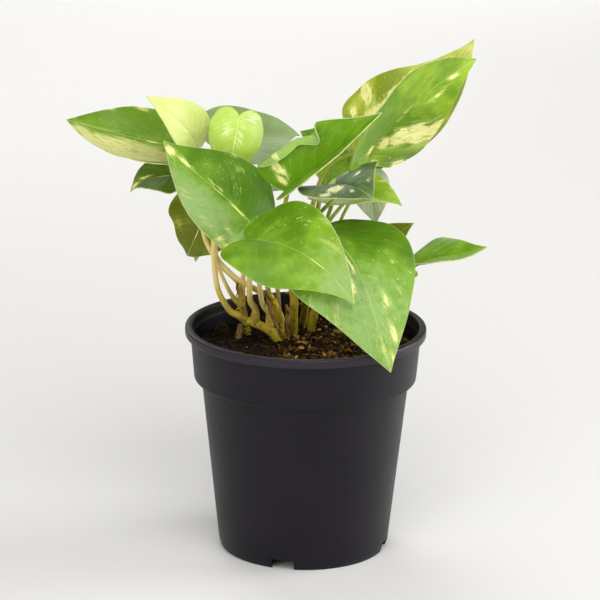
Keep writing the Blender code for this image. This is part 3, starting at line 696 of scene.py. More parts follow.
         way=((-32, 34, 135),), petiole=1.2,
         tone=VIVID,
         patches=((0.5, 0.5, 0.2, 0.25, 0.6), (0.2, -0.6, 0.15, 0.2, 0.8))),
    Leaf("leaf_low_right", "vine_far_right", 1.0, (51, 15, 140), (89, -1, 156), (2, 62), 33, 22, -8, 3, 21,
         (5, 27), (-33, 34), wave=0.5, leaves=(0.8, -0.1, 0.6),
         way=((38, 20, 128),), petiole=1.05,
         tone=VIVID),
    Leaf("leaf_right_behind", "vine_far_right", 0.86, (39, 34, 147), (54, 32, 159), (10, 45), 15,
         12, 10, 0, 0, (14, 14), (-10, -10), wave=0.3, leaves=(0.5, 0.6, 0.6),
         way=((31, 32, 128),), petiole=0.9,
         tone=SHADE),
    Leaf("leaf_low_back_right", "vine_far_right", 0.70, (21, 48, 142), (48, 86, 110), (150, 45), 44, 22, 26,
         0, 6, (13, 13), (-12, -14), leaves=(0.0, 0.9, 0.6),
         way=((22, 36, 126),), petiole=1.2,
         tone=GREEN,
         patches=((0.45, -0.4, 0.25, 0.2, 0.8), (0.75, 0.4, 0.12, 0.2, 0.6))),
)

BLADE = 0.55                   # thickness of a blade in the picture
KEEL_RUN = 0.80                # share of the midrib that the stalk runs on under the blade
GAP = 0.3                      # clearance between pieces in the CAD model
SEAT_GAP = GAP + 0.2           # clearance between a stalk's first point and its stem
ROUND_CELLS = 84               # cells round a half blade
ACROSS_CELLS = 22              # cells from the midrib to the margin
CELL_POWER = 1.35              # how much closer the cells lie near the midrib
# Numbers stored on a blade's vertices; the second is painted sheen and painted shade
LAYERS = ("cream", "haze", "rib", "margin", "relief", "run")
VEINS = 10.0                   # side veins of a half blade
VEIN_SWEEP = 0.20              # how far they run forward on their way to the margin
RIB_HANDLE = 0.36              # reach of the midrib's handles, as a share of its chord
EDGE_POINTS = 257              # points of the curve that the margin is read from
ROLL_STEPS = 24                # steps in which a half turns on its way from the midrib to the margin
HALVES_APART = 0.37            # how far the right half's waves are shifted against the left half's
TRIM_RISE, TRIM_FADE_START, TRIM_FADE = 0.12, 0.45, 0.30   # where round the margin the trim comes and goes


class Stalk(Enum):
    """Colours of the stalks and stems: near the blade, midway, near the stem, and the stem's own."""
    RIPE = ((0.900, 0.800, 0.400), (0.880, 0.700, 0.270), (0.680, 0.500, 0.060), (0.740, 0.600, 0.042))
    FRESH = ((0.330, 0.470, 0.060), (0.500, 0.520, 0.090), (0.540, 0.440, 0.040), (0.540, 0.400, 0.030))
    BACK = ((0.230, 0.360, 0.035), (0.320, 0.370, 0.050), (0.380, 0.330, 0.035), (0.400, 0.310, 0.025))


STALKS = {"vine_left": Stalk.RIPE, "vine_centre": Stalk.RIPE, "vine_far_left": Stalk.RIPE,
          "vine_upright": Stalk.FRESH, "vine_right": Stalk.FRESH, "vine_back": Stalk.BACK,
          "vine_far_right": Stalk.FRESH}


def midrib(leaf: Leaf, s: np.ndarray) -> tuple[np.ndarray, np.ndarray, np.ndarray, np.ndarray]:
    """Midrib of a blade.

    Args:
        leaf: The leaf.
        s: Shares of the midrib.

    Returns:
        Points, tangents, normals and right hand sides.
    """
    base, tip = np.array(leaf.base, float), np.array(leaf.tip, float)
    span = leaf.span
    chord = (tip - base) / span
    up = heading(*leaf.faces)
    up = unit(up - chord * (up @ chord))
    across = np.cross(chord, up)
    lift, droop, sweep = np.radians([leaf.lift, leaf.droop, leaf.sweep])
    start = unit(chord * np.cos(lift) + up * np.sin(lift) + across * np.sin(sweep))
    end = unit(chord * np.cos(droop) - up * np.sin(droop) - across * np.sin(sweep))
    p1, p2 = base + start * span * RIB_HANDLE, tip - end * span * RIB_HANDLE
    t = np.asarray(s, float)[..., None]
    points = (1 - t)**3 * base + 3 * (1 - t)**2 * t * p1 + 3 * (1 - t) * t * t * p2 + t**3 * tip
    along = unit(3 * (1 - t)**2 * (p1 - base) + 6 * (1 - t) * t * (p2 - p1) + 3 * t * t * (tip - p2))
    normal = unit(up - along * (along @ up)[..., None])
    side = np.cross(along, normal)
    turn = np.radians(leaf.twist) * t
    return (points, along, normal * np.cos(turn) + side * np.sin(turn),
            side * np.cos(turn) - normal * np.sin(turn))


@dataclass(frozen=True)
class HalfBlade:
    """Points of one half of a blade, with what its skin needs to know."""
    places: np.ndarray         # millimetres
    along: np.ndarray          # share of the length
    across: np.ndarray         # share of half the width
    to_margin: np.ndarray      # millimetres to the margin
    to_rib: np.ndarray         # millimetres to the midrib


def half_blade(leaf: Leaf, t: np.ndarray, w: np.ndarray, sign: int) -> HalfBlade:
    """Points of a half blade.

    Args:
        leaf: The leaf.
        t: Run round the margin from the notch to the tip, 0 to 1.
        w: Share of the way from the midrib to the margin.
        sign: 1 for the right half and -1 for the left.

    Returns:
        The half blade.
    """
    span, half = leaf.span, leaf.width / 2 * (1.0 - leaf.skew * sign)
    outline = np.array(HALF_OUTLINE)
    outline[:, 0] = np.where(outline[:, 0] < 0.0, outline[:, 0] * leaf.lobes, outline[:, 0])
    edge = spline(outline * np.array([span, half]), EDGE_POINTS)
    at = np.linspace(0.0, 1.0, EDGE_POINTS)
    rib = span * t**RIB_START_POWER
    edge_x, edge_d = np.interp(t, at, edge[:, 0]), np.interp(t, at, edge[:, 1])
    if sign < 0:
        fade = 1.0 - smooth_step((t - TRIM_FADE_START) / TRIM_FADE)
        edge_d = edge_d * (1.0 - leaf.trim * smooth_step(t / TRIM_RISE) * fade)
    # x runs along the chord and d away from it, s is the share of the midrib beside the point
    x = rib + (edge_x - rib) * w
    d = edge_d * w
    s = np.clip(x / span, 0.0, 1.0)
    k = 0 if sign < 0 else 1
    angle = turning(leaf, s, d[..., None] * (np.arange(ROLL_STEPS) + 0.5) / ROLL_STEPS / half, k)
    sideways = np.cos(angle).sum(-1) * d / ROLL_STEPS
    rise = np.sin(angle).sum(-1) * d / ROLL_STEPS
    waves = np.sin(2 * np.pi * (leaf.cycles * t + leaf.phase + HALVES_APART * k))
    rise = rise + leaf.wave * (waves * w**2 * np.sin(np.pi * t))
    points, along, normal, side = midrib(leaf, s)
    places = (points + along * (x - s * span)[..., None] + side * (sign * sideways)[..., None]
              + normal * rise[..., None])
    return HalfBlade(places, x / span, d / half, (1.0 - w) * np.hypot(edge_x - rib, edge_d), d)


def turning(leaf: Leaf, s: np.ndarray, out: np.ndarray, half: int) -> np.ndarray:
    """How far a half blade has turned up on its way out, from fold, curl and roll.

    Args:
        leaf: The leaf.
        s: Share of the midrib at each point.
        out: Way out from the midrib in steps, as shares of half the width.
        half: 0 for the left half and 1 for the right.

    Returns:
        The angles in radians.
    """
    fade_start, fade_end = leaf.roll_fade
    band_start, band_end = leaf.roll_band
    fade = 1.0 - smooth_step((s - fade_start) / (fade_end - fade_start))
    slant = leaf.roll_slant * smooth_step((s - fade_start) / 0.15 + 1.0)
    band = smooth_step((out - band_start + slant[..., None]) / (band_end - band_start))
    return np.radians(leaf.fold[half] + leaf.curl[half] * out + leaf.roll[half] * fade[..., None] * band)


def vein_run(t: np.ndarray, w: np.ndarray) -> np.ndarray:
    """Run that stays the same along a side vein, from where it leaves the midrib."""
    return t - VEIN_SWEEP * w**1.25


def spots(patches: tuple, along: np.ndarray, across: np.ndarray, meet: np.ufunc) -> np.ndarray:
    """Soft spots on a blade.

    Args:
        patches: Place along and across, reach along and across, and strength of each spot.
        along: Share of the length at each point.
        across: Share of half the width at each point, below 0 on the left.
        meet: How spots combine where they meet.

    Returns:
        Strength at each point.
    """
    cover = np.zeros(len(along))
    for middle_along, middle_across, long, wide, strength in patches:
        distance = ((along - middle_along) / long) ** 2 + ((across - middle_across) / wide) ** 2
        cover = meet(cover, strength * np.exp(-distance))
    return cover


def vine_axis(vine: Vine) -> np.ndarray:
    """Axis of a cutting, with its buried run straight."""
    above = spline(vine.points[1:], 3 * len(vine.points))
    return np.vstack([np.array(vine.points[0], float), above])


def vine_at(vine: Vine, share: float) -> tuple[np.ndarray, np.ndarray]:
    """Place on a cutting.

    Args:
        vine: The cutting.
        share: Share of its length.

    Returns:
        Point and direction of its axis there.
    """
    axis = vine_axis(vine)
    steps = np.diff(axis, axis=0)
    run = run_along(axis)
    place = np.array([np.interp(share * run[-1], run, axis[:, k]) for k in range(3)])
    index = min(int(np.searchsorted(run, share * run[-1] - 1e-6)), len(steps)) - 1
    return place, unit(steps[max(index, 0)])


@dataclass(frozen=True)
class SkinNoise:
    """Patterns that the upper side of a leaf is made from, the coarse ones first."""
    broad: Wire
    blots: Wire
    cells: Wire
    streak: Wire
    fine: Wire
    dots: Wire


@dataclass(frozen=True)
class LeafSkin:
    """Finishes of one leaf's upper side, underside and margin."""
    leaf: Leaf
    seed: float                            # where the noise of the streaks is read
    sheen: Colour = (0.38, 0.49, 0.27)     # greyer green, a painted sheen where light is reflected by the wax
    rim: Colour = (0.55, 0.60, 0.20)       # line along the margin of the upper side
    back: Colour = (0.34, 0.50, 0.20)      # what pales the underside
    back_veins: Colour = (0.46, 0.58, 0.26)
    back_rim: Colour = (0.62, 0.66, 0.24)
    cut: Colour = (0.58, 0.60, 0.22)       # pale parts of the margin itself

    def _streaks(self, graph: Graph, along: float, across: float, detail: float) -> Wire:
        """Noise drawn out along the side veins.

        Args:
            graph: The material.
            along: Fineness along the leaf.
            across: Fineness across it.
            detail: Detail of the noise.

        Returns:
            The noise.
        """
        vein = graph.add("ShaderNodeUVMap", {"uv_map": "vein"})
        run = graph.add("ShaderNodeSeparateXYZ", None, {0: vein}, "X")
        out = graph.add("ShaderNodeSeparateXYZ", None, {0: vein}, "Y")
        place = graph.add("ShaderNodeCombineXYZ", None, {0: run * along, 1: out * across, 2: self.seed})
        return graph.noise(place, 1.0, detail, 0.6)

    def _side_veins(self, graph: Graph) -> Wire:
        """Mask of the side veins.

        Args:
            graph: The material.

        Returns:
            1 on the side veins and 0 between them.
        """
        vein = graph.add("ShaderNodeUVMap", {"uv_map": "vein"})
        run = graph.add("ShaderNodeSeparateXYZ", None, {0: vein}, "X")
        wobble = graph.noise(graph.place((0.12, 0.12, 0.12)), 1.0, 1.0)
        gap = abs((run * VEINS + wobble * 0.35).fract() - 0.5)
        ends = graph.attribute("rib").ramp(0.6, 2.0) * graph.attribute("margin").ramp(0.5, 4.0)
        return gap.ramp(0.10, 0.0) * ends

    def _green(self, graph: Graph, grain: SkinNoise) -> Wire:
        """Deep and bright green under a painted sheen of greyer green, with painted shade where it is
        deeper.

        Args:
            graph: The material.
            grain: Its patterns.

        Returns:
            The colour.
        """
        tone = self.leaf.tone
        # Painted sheen raises the bright green and painted shade lowers it, from the stored layer
        haze = graph.attribute("haze")
        light = (grain.broad * 0.85 + grain.streak * 0.22 + haze * 0.3).ramp(0.38, 0.74)
        green = graph.mix(light, tone.deep, tone.bright)
        # Painted sheen: greyer green in random blotches and where the stored layer puts it
        painted_sheen_share = (haze * 0.9 + (grain.blots - 0.5) * 1.3 + (grain.cells - 0.5) * 0.7).ramp(0.05, 1.0)
        return graph.mix(painted_sheen_share * 0.80, green, between(tone.bright, self.sheen, 0.55))

    def _variegated(self, graph: Graph, grain: SkinNoise, green: Wire) -> Wire:
        """Cream patches with a paler halo, small flecks and painted shade in small dimples on the green.

        Args:
            graph: The material.
            grain: Its patterns.
            green: Colour of the green.

        Returns:
            The colour.
        """
        tone = self.leaf.tone
        cover = graph.attribute("cream")
        half_pale = between(tone.bright, tone.cream, 0.45)
        halo = (grain.streak + cover * 0.5).ramp(0.62, 0.84) * 0.60
        green = graph.mix(halo * cover.ramp(0.02, 0.30), green, half_pale)
        # Painted shade: deep green in dimples drawn from the same noise as the relief
        painted_dimple_shade = ((grain.cells - 0.5) * 1.6 - (grain.blots - 0.5) * 0.8).ramp(0.06, 0.34)
        green = graph.mix(painted_dimple_shade * 0.42, green, tone.deep)
        first_fleck = 0.715 - tone.flecks * 0.35
        speckle = grain.dots + cover * 0.22 + (grain.broad - 0.5) * 0.20
        green = graph.mix(speckle.ramp(first_fleck, first_fleck + 0.04) * 0.66, green, half_pale)
        lines = (grain.fine * 0.7 + grain.streak * 0.3).ramp(0.52, 0.62) * 0.75
        patch = graph.mix(lines, tone.cream, dimmed(between(tone.cream, tone.bright, 7 / 9), 0.9))
        cream = (cover * 0.9 + (grain.streak - 0.5) * 0.9 + (grain.fine - 0.5) * 0.5).ramp(0.52, 0.59)
        return graph.mix(cream, green, patch)

    def upper(self) -> bpy.types.Material:
        """Waxy upper side with variegation, veins and a pale margin.

        Returns:
            The material.
        """
        tone = self.leaf.tone
        graph = Graph(f"{self.leaf.name}_upper", tone.bright)
        place = graph.place()
        grain = SkinNoise(
            broad=graph.noise(place, 0.055, 2.0), blots=graph.noise(place, 0.22, 3.0, 0.6),
            cells=graph.noise(place, 1.7, 3.0, 0.6), streak=self._streaks(graph, *self.leaf.streaks, 4.0),
            fine=self._streaks(graph, *(3.5 * v for v in self.leaf.streaks), 2.0),
            dots=self._streaks(graph, 62.0, 26.0, 2.0))
        colour = self._variegated(graph, grain, self._green(graph, grain))
        veins = self._side_veins(graph)
        colour = graph.mix(veins * 0.07, colour, tone.veins)
        colour = graph.mix(graph.attribute("rib").ramp(0.55, 0.15) * 0.45, colour, tone.veins)
        colour = graph.mix(graph.attribute("margin").ramp(0.38, 0.10) * 0.45, colour, self.rim)
        graph.bump(grain.blots * 2.6 + grain.cells * 0.9 + grain.fine * 0.15 - veins * 0.6, 0.30, 0.55)
        waxy, dull = tone.roughness - 0.05, tone.roughness + 0.08
        rough = (grain.broad * 0.5 + grain.cells * 0.5).ramp(0.3, 0.7, waxy, dull)
        return graph.finish(colour, rough, 0.24)

    def under(self) -> bpy.types.Material:
        """Duller, paler underside with raised veins.

        Returns:
            The material.
        """
        tone = self.leaf.tone
        pale = between(tone.bright, self.back, 0.40)
        graph = Graph(f"{self.leaf.name}_under", pale)
        place = graph.place()
        broad = graph.noise(place, 0.06, 2.0)
        cells = graph.noise(place, 1.4, 3.0, 0.6)
        streak = self._streaks(graph, 24.0, 5.0, 3.0)
        cream = (streak + graph.attribute("cream") * 0.45).ramp(0.82, 0.92)
        colour = graph.mix(broad.ramp(0.3, 0.7), pale, dimmed(pale, 0.78))
        colour = graph.mix(cream * 0.55, colour, tone.cream)
        veins = self._side_veins(graph)
        colour = graph.mix(veins * 0.35, colour, self.back_veins)
        colour = graph.mix(graph.attribute("margin").ramp(0.5, 0.1) * 0.6, colour, self.back_rim)
        graph.bump(cells * 0.4 + veins * 0.6, 0.25, 0.6)
        return graph.finish(colour, cells.ramp(0.3, 0.7, 0.46, 0.58), 0.35)

    def margin(self) -> bpy.types.Material:
        """Thin pale rim of the blade.

        Returns:
            The material.
        """
        graph = Graph(f"{self.leaf.name}_margin", (0.55, 0.60, 0.22))
        shade = graph.noise(graph.place(), 0.35, 2.0)
        green = tuple(0.6 * c + 0.18 for c in self.leaf.tone.bright)
        colour = graph.mix(shade.ramp(0.35, 0.65), green, self.cut)
        return graph.finish(colour, shade.ramp(0.3, 0.7, 0.40, 0.52), 0.4)


@dataclass(frozen=True)
class StalkFinish:
    """Stalk that is green near the blade and yellow near the stem, with fine lengthwise lines."""
    stalk: Stalk
    foot: Colour = (0.16, 0.075, 0.025)
    specks: Colour = (0.13, 0.06, 0.02)

    def build(self) -> bpy.types.Material:
        """Makes the material.

        Returns:
            The material.
        """
        near_blade, midway, near_stem, _ = self.stalk.value
        graph = Graph(f"stalk_{self.stalk.name.lower()}", near_stem)
        lines = graph.noise(graph.place((2.2, 2.2, 0.10)), 1.0, 3.0)
        broad = graph.noise(graph.place(), 0.12, 2.0)
        specks = graph.noise(graph.place((1.0, 1.0, 0.6)), 1.1, 2.0)
        run = graph.attribute("run")
        ripe = run + broad * 0.3 - 0.15
        colour = graph.mix(ripe.ramp(0.0, 0.24), near_stem, midway)
        colour = graph.mix(ripe.ramp(0.24, 0.52), colour, near_blade)
        colour = graph.mix(lines.ramp(0.42, 0.74) * 0.30, colour, dimmed(near_stem, 0.62))
        colour = graph.mix(run.ramp(0.14, 0.0) * broad.ramp(0.35, 0.6) * 0.6, colour, self.foot)
        colour = graph.mix(specks.ramp(0.66, 0.72) * 0.7, colour, self.specks)
        graph.bump(lines, 0.30, 0.6)
        return graph.finish(colour, lines.ramp(0.3, 0.7, 0.45, 0.60), 0.22)


@dataclass
class Foliage:
    """All leaves: each a blade with relief, on a stalk that runs on under it as the midrib's keel."""
    leaves: tuple[Leaf, ...] = LEAVES
    vines: dict[str, Vine] = field(default_factory=lambda: {vine.name: vine for vine in VINES})
    quilt: float = 0.12            # height of the bulges between the side veins
    puckers: float = 0.55          # height of the broader unevenness
    valley: float = 0.32           # depth of the valley over the midrib
    valley_width: float = 0.75
    keel_shares: tuple = (0.02, 0.07, 0.12, 0.23, 0.34, 0.5, 0.65, KEEL_RUN)   # places along the midrib
    keel_radii: tuple = (0.86, 0.76, 0.66, 0.50, 0.38, 0.28, 0.2, 0.1)     # shares of the stalk's radius
    keel_drop: float = 0.12        # how far the keel's top lies under the middle of the blade
    keel_steps: int = 36
    knee: tuple = ((5.2, 1.7), (2.2, 1.1))     # points under and behind the notch, in the stalk's radii
    spacing: float = 1.6           # distance between the points of a stalk
    straight: float = 4.0          # length over which a stalk leaves its stem straight
    flare: tuple = (0.30, 0.035)   # how much thicker a stalk is at its stem, and over what share of it
    swelling: tuple = (0.16, 0.93, 0.04)   # how much thicker at the knee, where, and over what share
    sharp: float = 62.0

    def stalk_start(self, leaf: Leaf) -> tuple[np.ndarray, np.ndarray]:
        """Where a stalk leaves its stem.

        Args:
            leaf: The leaf.

        Returns:
            A point inside the stem and the first point clear of it.
        """
        vine = self.vines[leaf.vine]
        place, along = vine_at(vine, leaf.node)
        way = unit(np.array(leaf.leaves, float))
        lean = abs(float(way @ along))
        sine = max(math.sqrt(max(1.0 - lean * lean, 0.0)), 0.2)
        seat = leaf.petiole * 1.2
        if leaf.node >= 1.0:
            start = place + along * (SEAT_GAP + seat * sine)
        else:
            start = place + way * (vine.radius + SEAT_GAP + seat * lean) / sine
        return place + way * 0.4, start

    def stalk_path(self, leaf: Leaf) -> tuple[np.ndarray, np.ndarray]:
        """Run of a stalk from the stem on under the midrib.

        Args:
            leaf: The leaf.

        Returns:
            Its points and its radius at each.
        """
        root, start = self.stalk_start(leaf)
        way = unit(np.array(leaf.leaves, float))
        points, tangents, normals, _ = midrib(leaf, np.array(self.keel_shares))
        end = leaf.petiole * np.array(self.keel_radii)
        under = points - normals * (end + self.keel_drop)[:, None]
        base, tangent, normal = points[0], tangents[0], normals[0]
        near = [base - (normal * down + tangent * back) * leaf.petiole for down, back in self.knee]
        knots = [start, start + way * self.straight, *[np.array(p, float) for p in leaf.way], *near]
        path = spline(knots, max(24, int(np.linalg.norm(near[0] - start) / self.spacing)))
        share = np.linspace(0.0, 1.0, len(path))
        radii = leaf.petiole * (1.0 + 0.2 * (1.0 - smooth_step(share / 0.25)) - 0.14 * smooth_step(share))
        thicker, reach = self.flare
        foot = thicker * np.exp(-(share / reach) ** 2)
        thicker, middle, reach = self.swelling
        radii = radii * (1.0 + foot + thicker * np.exp(-((share - middle) / reach) ** 2))
        line = np.vstack([root, path, under])
        lengths = run_along(line)
        whole = spline(line, len(path) + self.keel_steps)
        at = np.linspace(0.0, lengths[-1], len(whole))
        return whole, np.interp(at, lengths, np.concatenate([[radii[0]], radii, end]))

    def relief(self, t: np.ndarray, w: np.ndarray, places: np.ndarray, to_rib: np.ndarray) -> np.ndarray:
        """Height of a blade's relief.

        Args:
            t: Run round the margin from the notch to the tip, 0 to 1.
            w: Share of the way from the midrib to the margin.
            places: Points of the blade.
            to_rib: Distance from the midrib.

        Returns:
            Height over the smooth blade in millimetres.
        """
        quilt = np.cos(2 * np.pi * (vein_run(t, w) * VEINS + 0.5)) * np.sin(np.pi * np.clip(w, 0, 1)) ** 0.8
        puckers = np.array([noise.noise(Vector(place) * 0.11) for place in places])
        relief = (self.quilt * quilt + self.puckers * puckers) * smooth_step(t / 0.1)
        relief = relief * smooth_step((1 - t) / 0.15)
        depth = self.valley * np.exp(-(to_rib / self.valley_width) ** 2)
        return relief - depth * smooth_step((1.02 - t) / 0.25)

    def lay(self, leaf: Leaf, bm: bmesh.types.BMesh) -> None:
        """Lays a flat grid out as a blade and stores on it what the skin needs to know.

        Args:
            leaf: The leaf.
            bm: The grid, which runs round the margin in x and from the left margin to the right in y.
        """
        flat = np.array([vert.co[:2] for vert in bm.verts], float)
        t, v = (flat[:, 0] + 1.0) / 2.0, flat[:, 1]
        w = np.abs(v) ** CELL_POWER
        left = v < -1e-9
        halves = {sign: half_blade(leaf, t, w, sign) for sign in (-1, 1)}
        places = np.where(left[:, None], halves[-1].places, halves[1].places)
        along = np.where(left, halves[-1].along, halves[1].along)
        across = np.where(left, -halves[-1].across, halves[1].across)
        to_margin = np.where(left, halves[-1].to_margin, halves[1].to_margin)
        to_rib = np.where(left, halves[-1].to_rib, halves[1].to_rib)
        # The second layer is painted sheen and painted shade, summed from the leaf's table
        values = np.stack([spots(leaf.patches, along, across, np.maximum),
                           spots(leaf.haze, along, across, np.add), to_rib, to_margin,
                           self.relief(t, w, places, to_rib), np.ones(len(t))], -1)
        layers = [bm.verts.layers.float.new(name) for name in LAYERS]
        uv = bm.loops.layers.uv.new("vein")
        vein_places = np.stack([vein_run(t, w), 0.5 + 0.5 * v], -1)
        for face in bm.faces:
            face.smooth = True
            for loop in face.loops:
                loop[uv].uv = vein_places[loop.vert.index]
        for vert, place, row in zip(bm.verts, places, values):
            vert.co = Vector(place) * MM
            for layer, value in zip(layers, row):
                vert[layer] = value

    def thickened(self, obj: bpy.types.Object) -> bpy.types.Mesh:
        """Blade with its thickness, whose underside and margin have material indices of their own.

        Args:
            obj: The thin blade, which is removed.

        Returns:
            The mesh.
        """
        for _ in range(3):
            obj.data.materials.append(None)
        solid = obj.modifiers.new("thickness", "SOLIDIFY")
        solid.thickness = BLADE * MM
        solid.offset = 0.0
        solid.material_offset = 1
        solid.material_offset_rim = 2
        return evaluated(obj)

    def blade(self, leaf: Leaf) -> bpy.types.Mesh:
        """Blade with a valley at its midrib, quilted between its side veins.

        Args:
            leaf: The leaf.

        Returns:
            The mesh.
        """
        bm = bmesh.new()
        bmesh.ops.create_grid(bm, x_segments=ROUND_CELLS, y_segments=2 * ACROSS_CELLS, size=1.0)
        self.lay(leaf, bm)
        bmesh.ops.remove_doubles(bm, verts=bm.verts, dist=MERGE * 20)
        _, _, normals, _ = midrib(leaf, np.array([0.5]))
        facing = sum((face.normal * face.calc_area() for face in bm.faces), Vector())
        if facing.dot(Vector(normals[0])) < 0:
            bmesh.ops.reverse_faces(bm, faces=bm.faces)
        bm.normal_update()
        relief = bm.verts.layers.float["relief"]
        for vert in bm.verts:
            vert.co += vert.normal * (vert[relief] * MM)
        return self.thickened(from_bmesh(leaf.name + "_blade", bm))

    def build(self) -> None:
        """Builds and dresses every leaf."""
        stalks = {stalk: StalkFinish(stalk).build() for stalk in Stalk}
        for index, leaf in enumerate(self.leaves):
            path, radii = self.stalk_path(leaf)
            stalk = tube(leaf.name + "_stalk", path, radii, 3, material=3)
            piece = joined(leaf.name + "_fine", [self.blade(leaf), stalk])
            skin = LeafSkin(leaf, 3.7 * index + 1.3)
            finishes = [skin.upper(), skin.under(), skin.margin(), stalks[STALKS[leaf.vine]]]
            settled(piece, [leaf.name], finishes, self.sharp)


# Stems

SOIL_LEVEL = 102.4             # height of the soil's top
SOIL_LUMP = 1.5                # height of its lumps
SOIL_PLACE = 11.0              # where the noise of the soil is read
SHEATH_STEPS = 40              # points along a dead sheath
STUB_STEPS = 24                # points along the dry stub


def soil_height(x: float, y: float) -> float:
    """Height of the soil's uneven top.

    Args:
        x: Place across, in millimetres.
        y: Place in depth.

    Returns:
        The height over the ground.
    """
    broad = noise.noise(Vector((x * 0.045, y * 0.045, SOIL_PLACE)))
    lumps = noise.noise(Vector((x * 0.16, y * 0.16, SOIL_PLACE + 7.0)))
    edge = 1.0 - 0.6 * smooth_step((math.hypot(x, y) - 44.0) / 9.0)
    return SOIL_LEVEL + SOIL_LUMP * float(edge) * (0.9 * broad + 0.9 * lumps)


@dataclass(frozen=True)
class StemFinish:
    """Stem that is yellow green with brown scars at its nodes, its colour changing from the foot up."""
    stalk: Stalk
    specks: Colour = (0.16, 0.075, 0.022)
    scars: Colour = (0.085, 0.038, 0.012)

    def build(self) -> bpy.types.Material:
        """Makes the material.

        Returns:
            The material.
        """
        _, _, young, ripe = self.stalk.value
        graph = Graph(f"stem_{self.stalk.name.lower()}", ripe)
        lines = graph.noise(graph.place((1.6, 1.6, 0.14)), 1.0, 3.0)
        broad = graph.noise(graph.place(), 0.10, 2.0)
        specks = graph.noise(graph.place((1.0, 1.0, 0.55)), 0.95, 2.0)
        scar = graph.attribute("scar")
        scarred = (scar * 0.32 + specks * 0.9 - 0.25).ramp(0.42, 0.62)
        colour = graph.mix((graph.attribute("run") + broad * 0.6 - 0.3).ramp(0.15, 0.9), ripe, young)
        colour = graph.mix(lines.ramp(0.42, 0.74) * 0.35, colour, dimmed(ripe, 0.60))
        colour = graph.mix(specks.ramp(0.605, 0.66) * 0.75, colour, self.specks)
        colour = graph.mix(scarred * 0.80, colour, self.scars)
        graph.bump(lines + scar * 0.4, 0.35, 0.6)
        return graph.finish(colour, lines.ramp(0.3, 0.7, 0.45, 0.62), 0.20)


@dataclass(frozen=True)
class HuskFinish:
    """Dry plant matter with fibres along it."""
    name: str
    pale: Colour
    dark: Colour

    def build(self) -> bpy.types.Material:
        """Makes the material.

        Returns:
            The material.
        """
        graph = Graph(self.name, self.pale)
        fibres = graph.noise(graph.place((1.3, 1.3, 0.16)), 1.0, 4.0, 0.6)
        blots = graph.noise(graph.place(), 0.22, 2.0)
        colour = graph.mix((fibres * 0.6 + blots * 0.5).ramp(0.40, 0.72), self.pale, self.dark)
        graph.bump(fibres, 0.35, 0.8)
        return graph.finish(colour, fibres.ramp(0.3, 0.7, 0.62, 0.80), 0.10)


@dataclass(frozen=True)
class Sheath:
    """Dead sheath that hangs on a cutting as a curled strip."""
    points: tuple                  # its middle line from the top down
    width: float                   # half of its width


